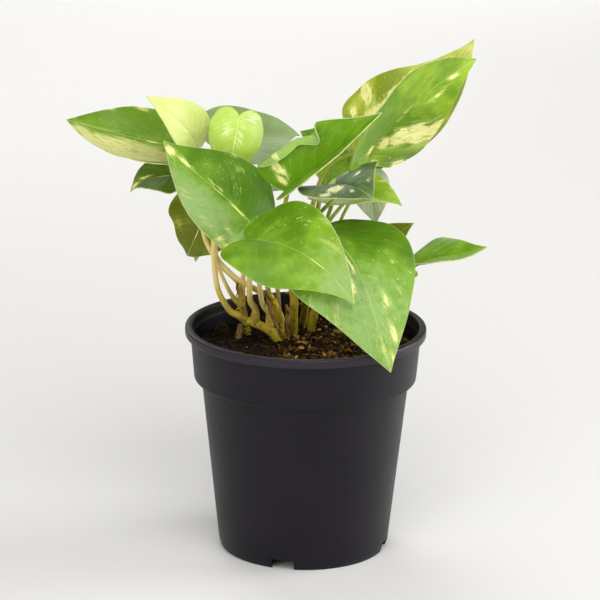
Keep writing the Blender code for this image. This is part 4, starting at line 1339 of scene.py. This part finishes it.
@dataclass
class Stems:
    """Cuttings with swollen, scarred nodes, the nubs of their air roots and dry remains."""
    vines: tuple[Vine, ...] = VINES
    leaves: tuple[Leaf, ...] = LEAVES
    seed: int = 5
    spacing: float = 0.8                       # distance between the points of a stem
    taper: float = 0.12                        # how much thinner a stem gets toward its end
    swelling: float = 0.14                     # how much thicker it is at a node
    swelling_reach: float = 1.9
    scar_shift: float = 1.1                    # distance from a node to its scar
    scar_reach: float = 0.45
    tip: tuple = (0.96, 0.84, 0.52)            # how the end of a stem rounds off
    nub_radii: tuple = (0.75, 0.66, 0.58, 0.52, 0.44, 0.34, 0.16)
    sheaths: tuple[Sheath, ...] = (
        Sheath(((-20.6, 9.2, 129.5), (-19.2, 7.6, 124.0), (-17.2, 7.0, 117.9), (-14.4, 5.6, 112.0),
                (-12.3, 5.0, 106.0)), 0.95),
        Sheath(((-33.8, 9.0, 134.2), (-34.6, 8.2, 131.4), (-34.0, 8.0, 128.6), (-34.9, 7.6, 126.4)), 0.55),
        Sheath(((-10.0, 12.6, 121.0), (-9.0, 11.6, 116.5), (-9.4, 10.4, 111.0), (-8.4, 9.0, 103.5)), 1.35),
        Sheath(((-15.2, 8.0, 115.0), (-13.2, 7.4, 111.6), (-12.8, 6.6, 108.0), (-10.6, 5.6, 103.4)), 0.60),
    )
    stub: tuple = ((-34.6, 13.6, 97.5), (-33.6, 16.0, 103.6), (-32.5, 18.0, 109.4))
    husk: HuskFinish = HuskFinish("dry_husk", (0.36, 0.20, 0.050), (0.035, 0.016, 0.005))
    pale_husk: HuskFinish = HuskFinish("pale_stub", (0.40, 0.29, 0.10), (0.14, 0.070, 0.022))

    def stem(self, vine: Vine, nodes: Sequence[float]) -> bpy.types.Mesh:
        """Stem with swollen, scarred nodes.

        Args:
            vine: The cutting.
            nodes: Shares of its length where its nodes are.

        Returns:
            The mesh.
        """
        coarse = vine_axis(vine)
        above = spline(vine.points[1:], max(24, int(np.linalg.norm(coarse[-1] - coarse[1]) / self.spacing)))
        buried = 8
        axis = np.vstack([spline([vine.points[0], vine.points[1]], buried)[:-1], above])
        length = run_along(axis)
        share = length / length[-1]
        foot = share[buried]
        radius = vine.radius * (1.0 - self.taper * smooth_step((share - foot) / (1.0 - foot)))
        scar = np.zeros(len(axis))
        for node in nodes:
            apart = length - node * length[-1]
            radius = radius * (1.0 + self.swelling * np.exp(-(apart / self.swelling_reach) ** 2))
            scar = np.maximum(scar, np.exp(-((apart - self.scar_shift) / self.scar_reach) ** 2))
        radius[-len(self.tip):] *= self.tip
        mesh = tube(vine.name + "_stem", axis, radius, 8)
        at = np.zeros(len(mesh.vertices), np.float32)
        mesh.attributes["run"].data.foreach_get("value", at)
        store(mesh, "scar", np.interp(at, np.linspace(0.0, 1.0, len(scar)), scar))
        return mesh

    def nub(self, place: np.ndarray, along: np.ndarray, radius: float,
            pick: random.Random) -> bpy.types.Mesh:
        """Nub of an air root.

        Args:
            place: Point of the cutting's axis.
            along: Direction of the cutting there.
            radius: Radius of the cutting.
            pick: Source of the nub's direction and length.

        Returns:
            The mesh.
        """
        turn = pick.uniform(0.0, math.tau)
        side = unit(np.cross(along, (math.cos(turn), math.sin(turn), 0.13)))
        root = place + side * radius * 0.8
        reach = pick.uniform(1.0, 2.6)
        path = spline([root, root + side * reach * 0.6 - along * 0.2, root + side * reach - along * 0.9],
                      len(self.nub_radii))
        nub = tube("nub", path, np.array(self.nub_radii), 2)
        store(nub, "run", np.zeros(len(nub.vertices)))
        store(nub, "scar", np.full(len(nub.vertices), 0.75))
        return nub

    def cutting(self, vine: Vine, pick: random.Random) -> list[bpy.types.Mesh]:
        """Meshes of one cutting.

        Args:
            vine: The cutting.
            pick: Source of its nubs.

        Returns:
            The stem, then the nubs at its nodes above the soil.
        """
        nodes = sorted({leaf.node for leaf in self.leaves if leaf.vine == vine.name} | {0.5})
        meshes = [self.stem(vine, nodes)]
        for node in nodes:
            place, along = vine_at(vine, min(node + 0.012, 0.97))
            if place[2] >= SOIL_LEVEL + 2.0:
                meshes.append(self.nub(place, along, vine.radius, pick))
        return meshes

    def strip(self, sheath: Sheath) -> bpy.types.Mesh:
        """Curled, ragged strip of a dead sheath.

        Args:
            sheath: The sheath.

        Returns:
            The mesh.
        """
        path, at = spline(sheath.points, SHEATH_STEPS), np.linspace(0, 1, SHEATH_STEPS)
        across, out = np.array([0.90, 0.35, 0.25]), np.array([-0.25, -0.95, 0.15])
        bm = bmesh.new()
        bmesh.ops.create_grid(bm, x_segments=SHEATH_STEPS - 1, y_segments=10, size=1.0)
        for vert in bm.verts:
            u, v = (vert.co.x + 1.0) / 2.0, vert.co.y
            middle = np.array([np.interp(u, at, path[:, k]) for k in range(3)])
            half = sheath.width * math.sin(math.pi * (0.12 + 0.80 * u)) + 0.15
            ragged = 1.0 + 0.35 * noise.noise(Vector((u * 9.0, v * 2.0, 3.1 + sheath.points[0][0])))
            angle = v * (2.0 - 0.6 * u)
            place = middle + across * half * ragged * math.sin(angle) + out * half * (math.cos(angle) - 0.4)
            vert.co = Vector(place) * MM
        obj = from_bmesh("sheath_blade", bm)
        solid = obj.modifiers.new("thickness", "SOLIDIFY")
        solid.thickness = 0.25 * MM
        return evaluated(obj)

    def build(self) -> None:
        """Builds and dresses the stems and their dry remains."""
        finishes = {stalk: StemFinish(stalk).build() for stalk in Stalk}
        pick = random.Random(self.seed)
        for vine in self.vines:
            piece = joined(vine.name + "_fine", self.cutting(vine, pick))
            settled(piece, [vine.name], [finishes[STALKS[vine.name]]], sharp=70.0)
        strips = [self.strip(sheath) for sheath in self.sheaths]
        settled(joined("dry_sheaths", strips), [], [self.husk.build()], sharp=60.0)
        radii = np.interp(np.linspace(0, 1, STUB_STEPS), (0, 0.8, 0.93, 1.0), (1.7, 1.5, 1.3, 0.7))
        stub = tube("stub", spline(self.stub, STUB_STEPS), radii, 4)
        settled(joined("dry_stub", [stub]), [], [self.pale_husk.build()], sharp=60.0)


# Pot and soil

POT_HEIGHT = 114.4
LIP_HEIGHT = 4.5
LIP_RADIUS, LIP_INNER_RADIUS = 60.0, 56.3
COLLAR_TOP_RADIUS, COLLAR_FOOT_RADIUS, COLLAR_FOOT = 57.3, 55.5, 89.4
STEP_HEIGHT = 87.2
BODY_TOP_RADIUS, BODY_FOOT_RADIUS = 51.7, 42.7
FOOT_RADIUS, FOOT_RING_INNER = 41.5, 39.6
WALL = 1.6
CHANNEL_INNER, CHANNEL_HEIGHT = 23.5, 6.0
BOSS_RADIUS, FLOOR_THICKNESS = 22.0, 1.5
SOIL_GAP = 0.35                # clearance between the soil and the pot's wall


def pot_inner(height: float) -> float:
    """Radius of the pot's inside.

    Args:
        height: Height in the body or the collar.

    Returns:
        The radius there.
    """
    if height > COLLAR_FOOT:
        share = (height - COLLAR_FOOT) / (POT_HEIGHT - LIP_HEIGHT - COLLAR_FOOT)
        return COLLAR_FOOT_RADIUS + share * (COLLAR_TOP_RADIUS - COLLAR_FOOT_RADIUS) - WALL
    share = height / (STEP_HEIGHT - 1.0)
    return BODY_FOOT_RADIUS + share * (BODY_TOP_RADIUS - BODY_FOOT_RADIUS) - WALL


def filleted(corners: Sequence[tuple[float, float, float]], steps: int = 4) -> list[tuple[float, float]]:
    """Profile with rounded corners.

    Args:
        corners: Radius, height and rounding of each corner.
        steps: Steps of each rounding.

    Returns:
        Radius and height of every point.
    """
    points = [tuple(corners[0][:2])]
    for before, here, after in zip(corners, corners[1:], corners[2:]):
        corner, size = np.array(here[:2]), here[2]
        back, ahead = np.array(before[:2]) - corner, np.array(after[:2]) - corner
        size = min(size, 0.45 * float(np.linalg.norm(back)), 0.45 * float(np.linalg.norm(ahead)))
        if size < 0.05:
            points.append(tuple(corner))
            continue
        start, end = corner + unit(back) * size, corner + unit(ahead) * size
        for t in np.linspace(0.0, 1.0, steps + 1):
            points.append(tuple((1 - t) ** 2 * start + 2 * t * (1 - t) * corner + t * t * end))
    return points + [tuple(corners[-1][:2])]


@dataclass(frozen=True)
class BlackPlastic:
    """Matte charcoal plastic with fine grain, dust, scuffs and a painted highlight on the lip."""
    deep: Colour = (0.0046, 0.0034, 0.0062)
    worn: Colour = (0.0092, 0.0068, 0.0118)
    dust: Colour = (0.105, 0.085, 0.062)
    scuffs: Colour = (0.13, 0.12, 0.13)
    # paler purple-grey of the lip, a painted highlight
    lip: Colour = (0.034, 0.028, 0.037)

    def build(self) -> bpy.types.Material:
        """Makes the material.

        Returns:
            The material.
        """
        graph = Graph("black_plastic", self.deep)
        place = graph.place()
        broad = graph.noise(place, 0.035, 3.0)
        grain = graph.noise(place, 3.2, 2.0)
        height = graph.add("ShaderNodeSeparateXYZ", None, {0: place}, "Z")
        specks = graph.noise(place, 0.85, 3.0, 0.6)
        scuff = graph.noise(graph.place((0.5, 0.5, 2.2)), 0.6, 2.0)
        rings = graph.noise(graph.place((0.02, 0.02, 3.0)), 0.5, 2.0)
        lip = height.ramp(POT_HEIGHT - LIP_HEIGHT - 0.6, POT_HEIGHT - LIP_HEIGHT + 0.4)
        colour = graph.mix((broad * 0.6 + grain * 0.4).ramp(0.35, 0.75), self.deep, self.worn)
        soiled = specks.ramp(0.68, 0.76) * height.ramp(40.0, 112.0, 0.06, 0.40)
        colour = graph.mix(soiled, colour, self.dust)
        colour = graph.mix(scuff.ramp(0.74, 0.80) * 0.30, colour, self.scuffs)
        # Painted highlight: the lip paler than the body
        colour = graph.mix(lip * 0.55, colour, self.lip)
        rough = (broad * 0.5 + specks * 0.5).ramp(0.3, 0.7, 0.40, 0.52) - lip * 0.06
        graph.bump(grain * 0.45 + rings * 0.55, 0.09, 0.6)
        return graph.finish(colour, rough, 0.24)


@dataclass
class Pot:
    """Nursery pot with rounded lip, stepped collar, notched foot ring and drained floor."""
    segments: int = 160
    finish: BlackPlastic = BlackPlastic()
    notches: int = 4
    notch: tuple[float, float] = (11.5, 5.2)       # width and height of a notch in the foot ring
    notch_turn: float = -14.0                      # degrees that the notches are turned by
    drains: int = 8
    drain_radius: float = 3.5
    drain_circle: float = 31.5                     # radius of the circle that the drain holes lie on

    def corners(self) -> list[tuple[float, float, float]]:
        """Corners of the pot's section.

        Returns:
            Radius, height and rounding of each, outside first.
        """
        top, lip, floor = POT_HEIGHT, POT_HEIGHT - LIP_HEIGHT, CHANNEL_HEIGHT + FLOOR_THICKNESS
        outside = [
            (0.0, 0.0, 0.0), (BOSS_RADIUS, 0.0, 0.6), (CHANNEL_INNER, CHANNEL_HEIGHT, 0.8),
            (FOOT_RING_INNER - 0.4, CHANNEL_HEIGHT, 0.8), (FOOT_RING_INNER, 0.0, 0.3),
            (FOOT_RADIUS, 0.0, 0.6), (BODY_FOOT_RADIUS, 3.4, 1.6), (BODY_TOP_RADIUS, STEP_HEIGHT, 0.5),
            (COLLAR_FOOT_RADIUS - 0.2, STEP_HEIGHT + 0.5, 1.5), (COLLAR_FOOT_RADIUS, COLLAR_FOOT, 0.4),
            (COLLAR_TOP_RADIUS, lip, 0.5), (LIP_RADIUS, lip + 0.1, 0.9), (LIP_RADIUS, top, 1.1),
        ]
        inside = [
            (LIP_INNER_RADIUS, top, 0.9), (LIP_INNER_RADIUS - 0.1, lip - 0.1, 0.3),
            (COLLAR_TOP_RADIUS - WALL, lip - 0.8, 0.3),
            (pot_inner(COLLAR_FOOT + 0.1), COLLAR_FOOT + 0.1, 0.5),
            (pot_inner(STEP_HEIGHT - 2.0), STEP_HEIGHT - 2.0, 0.5), (pot_inner(floor), floor, 1.0),
            (CHANNEL_INNER - 0.6, floor, 0.6), (BOSS_RADIUS - 0.9, FLOOR_THICKNESS, 0.6),
            (0.0, FLOOR_THICKNESS, 0.0),
        ]
        return outside + inside

    def cut(self, pot: bpy.types.Object, bm: bmesh.types.BMesh, place: Matrix) -> None:
        """Cuts a shape out of the pot.

        Args:
            pot: The pot.
            bm: The shape, which is freed.
            place: Where it is moved to.
        """
        bmesh.ops.transform(bm, matrix=place, verts=bm.verts)
        modifier = pot.modifiers.new("cut", "BOOLEAN")
        modifier.operation = "DIFFERENCE"
        modifier.solver = "EXACT"
        modifier.object = from_bmesh("cutter", bm)

    def cut_notches(self, pot: bpy.types.Object) -> None:
        """Cuts the notches of the foot ring.

        Args:
            pot: The pot.
        """
        width, height = self.notch
        size = Matrix.Diagonal((9.0 * MM, width * MM, (height + 2.0) * MM, 1.0))
        shift = Matrix.Translation((FOOT_RADIUS * MM, 0, (height / 2 - 1.0) * MM))
        for i in range(self.notches):
            bm = bmesh.new()
            bmesh.ops.create_cube(bm, size=1.0)
            turn = Matrix.Rotation(math.radians(self.notch_turn + 90.0 * i - 90.0), 4, "Z")
            self.cut(pot, bm, turn @ shift @ size)

    def cut_drains(self, pot: bpy.types.Object) -> None:
        """Cuts the drain holes of the floor.

        Args:
            pot: The pot.
        """
        radius, circle = self.drain_radius * MM, self.drain_circle
        for i in range(self.drains):
            turn = math.tau * (i + 0.5) / self.drains
            bm = bmesh.new()
            bmesh.ops.create_cone(bm, cap_ends=True, segments=24, radius1=radius, radius2=radius,
                                  depth=7.5 * MM)
            middle = (circle * math.cos(turn) * MM, circle * math.sin(turn) * MM, 6.75 * MM)
            self.cut(pot, bm, Matrix.Translation(middle))

    def build(self) -> None:
        """Builds and dresses the pot."""
        pot = turned("pot_body", filleted(self.corners()), self.segments)
        self.cut_notches(pot)
        self.cut_drains(pot)
        cutters = [modifier.object for modifier in pot.modifiers]
        mesh = evaluated(pot)
        for cutter in cutters:
            bpy.data.objects.remove(cutter)
        settled(joined("pot_fine", [mesh]), ["pot"], [self.finish.build()], sharp=38.0)


@dataclass(frozen=True)
class Earth:
    """Dark damp potting mix."""
    wet: Colour = (0.0045, 0.0028, 0.0016)
    crumb: Colour = (0.034, 0.017, 0.007)
    dry: Colour = (0.060, 0.032, 0.013)

    def build(self) -> bpy.types.Material:
        """Makes the material.

        Returns:
            The material.
        """
        graph = Graph("earth", (0.022, 0.013, 0.007))
        place = graph.place()
        broad, grain = graph.noise(place, 0.12, 3.0), graph.noise(place, 1.1, 5.0, 0.65)
        colour = graph.mix(grain.ramp(0.36, 0.66), self.wet, self.crumb)
        colour = graph.mix(broad.ramp(0.50, 0.72) * 0.4, colour, self.dry)
        graph.bump(grain, 0.9, 1.0)
        return graph.finish(colour, grain.ramp(0.3, 0.7, 0.78, 0.95), 0.2)


@dataclass(frozen=True)
class LooseMix:
    """Bark chips, crumbs and pale grains, whose kind each piece carries in "tone"."""
    tones: tuple = (
        (0.0, (0.006, 0.0030, 0.0015)), (0.35, (0.030, 0.014, 0.004)), (0.60, (0.200, 0.088, 0.018)),
        (0.89, (0.720, 0.390, 0.120)), (0.96, (0.70, 0.68, 0.60)),
    )
    cracks: Colour = (0.016, 0.008, 0.004)

    def build(self) -> bpy.types.Material:
        """Makes the material.

        Returns:
            The material.
        """
        graph = Graph("grains", (0.10, 0.06, 0.03))
        tone = graph.attribute("tone")
        base = graph.add("ShaderNodeValToRGB", {"stops": self.tones}, {0: tone}, "Color")
        fibres = graph.noise(graph.place((1.0, 0.35, 1.0)), 1.6, 4.0, 0.6)
        colour = graph.mix(fibres.ramp(0.40, 0.70) * 0.5, base, self.cracks)
        graph.bump(fibres, 0.35, 0.9)
        return graph.finish(colour, fibres.ramp(0.3, 0.7, 0.70, 0.90), 0.25)


@dataclass(frozen=True)
class Grit:
    """One kind of loose grains."""
    count: int
    small: float                   # smallest size
    large: float                   # largest size
    flat: float                    # height as a share of the size
    tones: tuple[float, float]     # range of the tones


@dataclass
class Soil:
    """Potting mix with bark chips, crumbs, pale grains and fine roots on top."""
    rings: int = 44
    segments: int = 144
    crumbs: Grit = Grit(2700, 0.8, 2.4, 0.8, (0.02, 0.70))
    chips: Grit = Grit(1250, 1.4, 4.4, 0.50, (0.20, 0.89))
    pale: Grit = Grit(17, 0.7, 1.3, 0.85, (0.96, 1.0))
    last_grain: tuple[float, float] = (-29.1, 0.0)     # place of the last pale grain
    reach: float = 53.2                # radius that the grains are strewn over
    roots: int = 110
    root_reach: float = 50.0           # radius that the roots begin in
    root_end: float = 53.5             # radius that they end at
    root_step: float = 2.1             # distance between the points of a root
    seed: int = 23
    earth: Earth = Earth()
    loose: LooseMix = LooseMix()

    def body(self) -> bpy.types.Object:
        """Body of the mix with a rough top.

        Returns:
            The body.
        """
        floor = CHANNEL_HEIGHT + FLOOR_THICKNESS + GAP
        rim, step = pot_inner(SOIL_LEVEL) - SOIL_GAP, pot_inner(STEP_HEIGHT - 2.0) - SOIL_GAP
        profile = [
            (0.0, FLOOR_THICKNESS + GAP), (BOSS_RADIUS - 1.3, FLOOR_THICKNESS + GAP),
            (CHANNEL_INNER - 1.0, floor), (pot_inner(floor) - 1.4 - GAP, floor),
            (pot_inner(floor + 1.0) - SOIL_GAP, floor + 1.0), (step, STEP_HEIGHT - 2.2),
            (pot_inner(COLLAR_FOOT + 0.1) - SOIL_GAP, COLLAR_FOOT + 0.4), (rim, SOIL_LEVEL),
        ]
        profile += [(rim * (1 - (i + 1) / self.rings), SOIL_LEVEL) for i in range(self.rings)]
        body = turned("soil_body", profile, self.segments)
        for vert in body.data.vertices:
            if vert.co.z > (SOIL_LEVEL - 0.01) * MM:
                x, y = vert.co.x / MM, vert.co.y / MM
                rough = noise.noise(Vector((x * 0.42, y * 0.42, 5.0))) * 0.9
                rough += noise.noise(Vector((x * 1.1, y * 1.1, 8.0))) * 0.45
                vert.co.z = (soil_height(x, y) + rough) * MM
        return body

    def grains(self, pick: random.Random) -> bpy.types.Object:
        """Chips, crumbs and pale grains strewn over the top, darker under the leaves at the left.

        Args:
            pick: Source of their places and shapes.

        Returns:
            Chips, crumbs and pale grains strewn over the top, with painted shade darkening them at the
            left, under the leaves.
        """
        bm = bmesh.new()
        tone_layer = bm.verts.layers.float.new("tone")
        kinds = [kind for kind in (self.crumbs, self.chips, self.pale) for _ in range(kind.count)]
        for index, kind in enumerate(kinds):
            ring = self.reach * math.sqrt(pick.random())
            turn = pick.uniform(0.0, math.tau)
            x, y = ring * math.cos(turn), ring * math.sin(turn)
            if index == len(kinds) - 1:
                x, y = self.last_grain
            size = kind.small + (kind.large - kind.small) * pick.random() ** 2
            made = bmesh.ops.create_icosphere(bm, subdivisions=1, radius=size * 0.5 * MM)["verts"]
            width, height = pick.uniform(0.45, 0.9), kind.flat * pick.uniform(0.6, 1.0)
            stretch = Matrix.Diagonal((1.0, width, height, 1.0))
            tilt = Matrix.Rotation(pick.gauss(0.0, 0.45), 4, "X")
            tilt = tilt @ Matrix.Rotation(pick.gauss(0.0, 0.35), 4, "Y")
            spin = Matrix.Rotation(pick.uniform(0.0, math.tau), 4, "Z")
            lift = soil_height(x, y) + size * pick.uniform(0.0, 0.30)
            place = Matrix.Translation((x * MM, y * MM, lift * MM)) @ spin @ tilt @ stretch
            tone = pick.uniform(*kind.tones)
            # Painted shade: chips and crumbs darker toward the left, under the leaves
            if kind is not self.pale:
                tone *= 0.35 + 0.65 * float(smooth_step((x + 32.0) / 26.0))
            for vert in made:
                vert.co = place @ (vert.co * pick.uniform(0.72, 1.22))
                vert[tone_layer] = tone
        return from_bmesh("soil_grains", bm)

    def root_line(self, pick: random.Random) -> tuple[list[tuple[float, float, float]], float]:
        """Course of a fine root over the top.

        Args:
            pick: Source of its course.

        Returns:
            Its points and the height of its arch.
        """
        ring, turn = self.root_reach * math.sqrt(pick.random()), pick.uniform(0.0, math.tau)
        x, y = ring * math.cos(turn), ring * math.sin(turn)
        way = pick.uniform(0.0, math.tau)
        steps, arch = pick.randint(5, 9), pick.choice((0.0, 0.0, 0.0, 2.5, 5.0))
        points = []
        for step in range(steps):
            if math.hypot(x, y) > self.root_end:
                break
            rise = arch * math.sin(math.pi * step / (steps - 1.0))
            points.append((x, y, soil_height(x, y) + 0.5 + rise + pick.uniform(-0.5, 0.9)))
            way += pick.gauss(0.0, 0.55)
            x, y = x + self.root_step * math.cos(way), y + self.root_step * math.sin(way)
        return points, arch

    def fibres(self, pick: random.Random) -> bpy.types.Object:
        """Fine roots that wander over the top.

        Args:
            pick: Source of their courses.

        Returns:
            The roots.
        """
        meshes = []
        for _ in range(self.roots):
            points, arch = self.root_line(pick)
            if len(points) > 3:
                path = spline(points, 3 * len(points))
                radius = pick.uniform(0.10, 0.20 + 0.03 * arch)
                mesh = tube("fibre", path, np.linspace(radius, radius * 0.5, len(path)), 1)
                store(mesh, "tone", np.full(len(mesh.vertices), pick.uniform(0.05, 0.68)))
                meshes.append(mesh)
        return joined("soil_fibres", meshes)

    def build(self) -> None:
        """Builds and dresses the soil."""
        pick = random.Random(self.seed)
        settled(self.body(), ["soil"], [self.earth.build()])
        loose = self.loose.build()
        settled(self.grains(pick), [], [loose], sharp=30.0)
        settled(self.fibres(pick), [], [loose])


# Studio

@dataclass(frozen=True)
class Lamp:
    """Round soft lamp."""
    name: str
    place: tuple[float, float, float]
    size: float
    power: float
    glossy: bool = True            # whether glossy reflections show it
    aim: tuple[float, float, float] = (0.0, 0.0, 0.12)
    spread: float = 180.0          # width of its beam in degrees


@dataclass
class Studio:
    """Pale floor, soft lights and the photograph's camera."""
    elevation: float = 16.4        # degrees that the camera looks down at
    roll: float = 0.66             # degrees that it is turned about its own axis
    distance: float = 1.6
    lens: float = 193.5
    sensor: float = 36.0
    target: tuple[float, float, float] = (-0.003, 0.0, 0.1272)
    ground: Colour = (0.72, 0.71, 0.69)
    sky: Colour = (1.0, 0.99, 0.98)
    sky_strength: float = 0.22
    lamps: tuple[Lamp, ...] = (
        Lamp("key", (0.24, -0.90, 1.16), 1.30, 14.6),
        Lamp("side", (1.10, 0.18, 0.38), 0.80, 11.0),
        Lamp("fill", (-0.70, -1.10, 0.30), 0.90, 7.5, False),
        Lamp("back", (-0.30, 0.95, 0.95), 0.80, 6.5),
        Lamp("floor_back", (0.0, 2.6, 1.5), 2.2, 32.0, False, (0.0, 2.6, 0.0), 110.0),
        Lamp("floor_left", (-2.6, 0.0, 1.5), 2.2, 24.0, False, (-2.6, 0.0, 0.0), 110.0),
        Lamp("floor_right", (2.6, 0.0, 1.5), 2.2, 22.0, False, (2.6, 0.0, 0.0), 110.0),
        Lamp("floor_front", (0.0, -2.6, 1.9), 2.2, 16.0, False, (0.0, -2.6, 0.0), 110.0),
    )

    def floor(self) -> None:
        """Plain floor that the pot stands on."""
        bm = bmesh.new()
        bmesh.ops.create_grid(bm, x_segments=1, y_segments=1, size=4.0)
        floor = from_bmesh("floor", bm)
        floor.data.materials.append(Graph("floor", self.ground).finish(self.ground, 0.85, 0.2))

    def light(self, lamp: Lamp) -> None:
        """Adds a lamp.

        Args:
            lamp: The lamp.
        """
        light = bpy.data.lights.new(lamp.name, "AREA")
        light.shape = "DISK"
        light.size = lamp.size
        light.energy = lamp.power
        light.spread = math.radians(lamp.spread)
        holder = link(lamp.name, light)
        holder.location = lamp.place
        holder.visible_glossy = lamp.glossy
        aim = Vector(lamp.aim) - Vector(lamp.place)
        holder.rotation_euler = aim.to_track_quat("-Z", "Y").to_euler()

    def surroundings(self) -> None:
        """Faint, even light from all round."""
        world = bpy.data.worlds.new("studio")
        world.use_nodes = True
        background = world.node_tree.nodes["Background"]
        background.inputs["Color"].default_value = (*self.sky, 1.0)
        background.inputs["Strength"].default_value = self.sky_strength
        bpy.context.scene.world = world

    def camera(self) -> None:
        """Camera at the photograph's angle."""
        e, r = math.radians(self.elevation), math.radians(self.roll)
        back, right = Vector((0.0, -math.cos(e), math.sin(e))), Vector((1.0, 0.0, 0.0))
        up = back.cross(right)
        turned_right = right * math.cos(r) + up * math.sin(r)
        turned_up = up * math.cos(r) - right * math.sin(r)
        data = bpy.data.cameras.new("camera")
        data.lens = self.lens
        data.sensor_width = self.sensor
        camera = link("camera", data)
        eye = Vector(self.target) + back * self.distance
        turn = Matrix((turned_right, turned_up, back)).transposed().to_4x4()
        camera.matrix_world = Matrix.Translation(eye) @ turn
        bpy.context.scene.camera = camera

    def build(self) -> None:
        """Sets the studio up."""
        self.floor()
        for lamp in self.lamps:
            self.light(lamp)
        self.surroundings()
        self.camera()
        bpy.context.scene.view_settings.view_transform = "Standard"


def main() -> None:
    """Builds the pieces and the studio."""
    logging.basicConfig(level=logging.INFO, format="%(name)s %(message)s")
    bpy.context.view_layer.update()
    for part in (Foliage(), Stems(), Pot(), Soil(), Studio()):
        part.build()


if __name__ == "__main__":
    main()
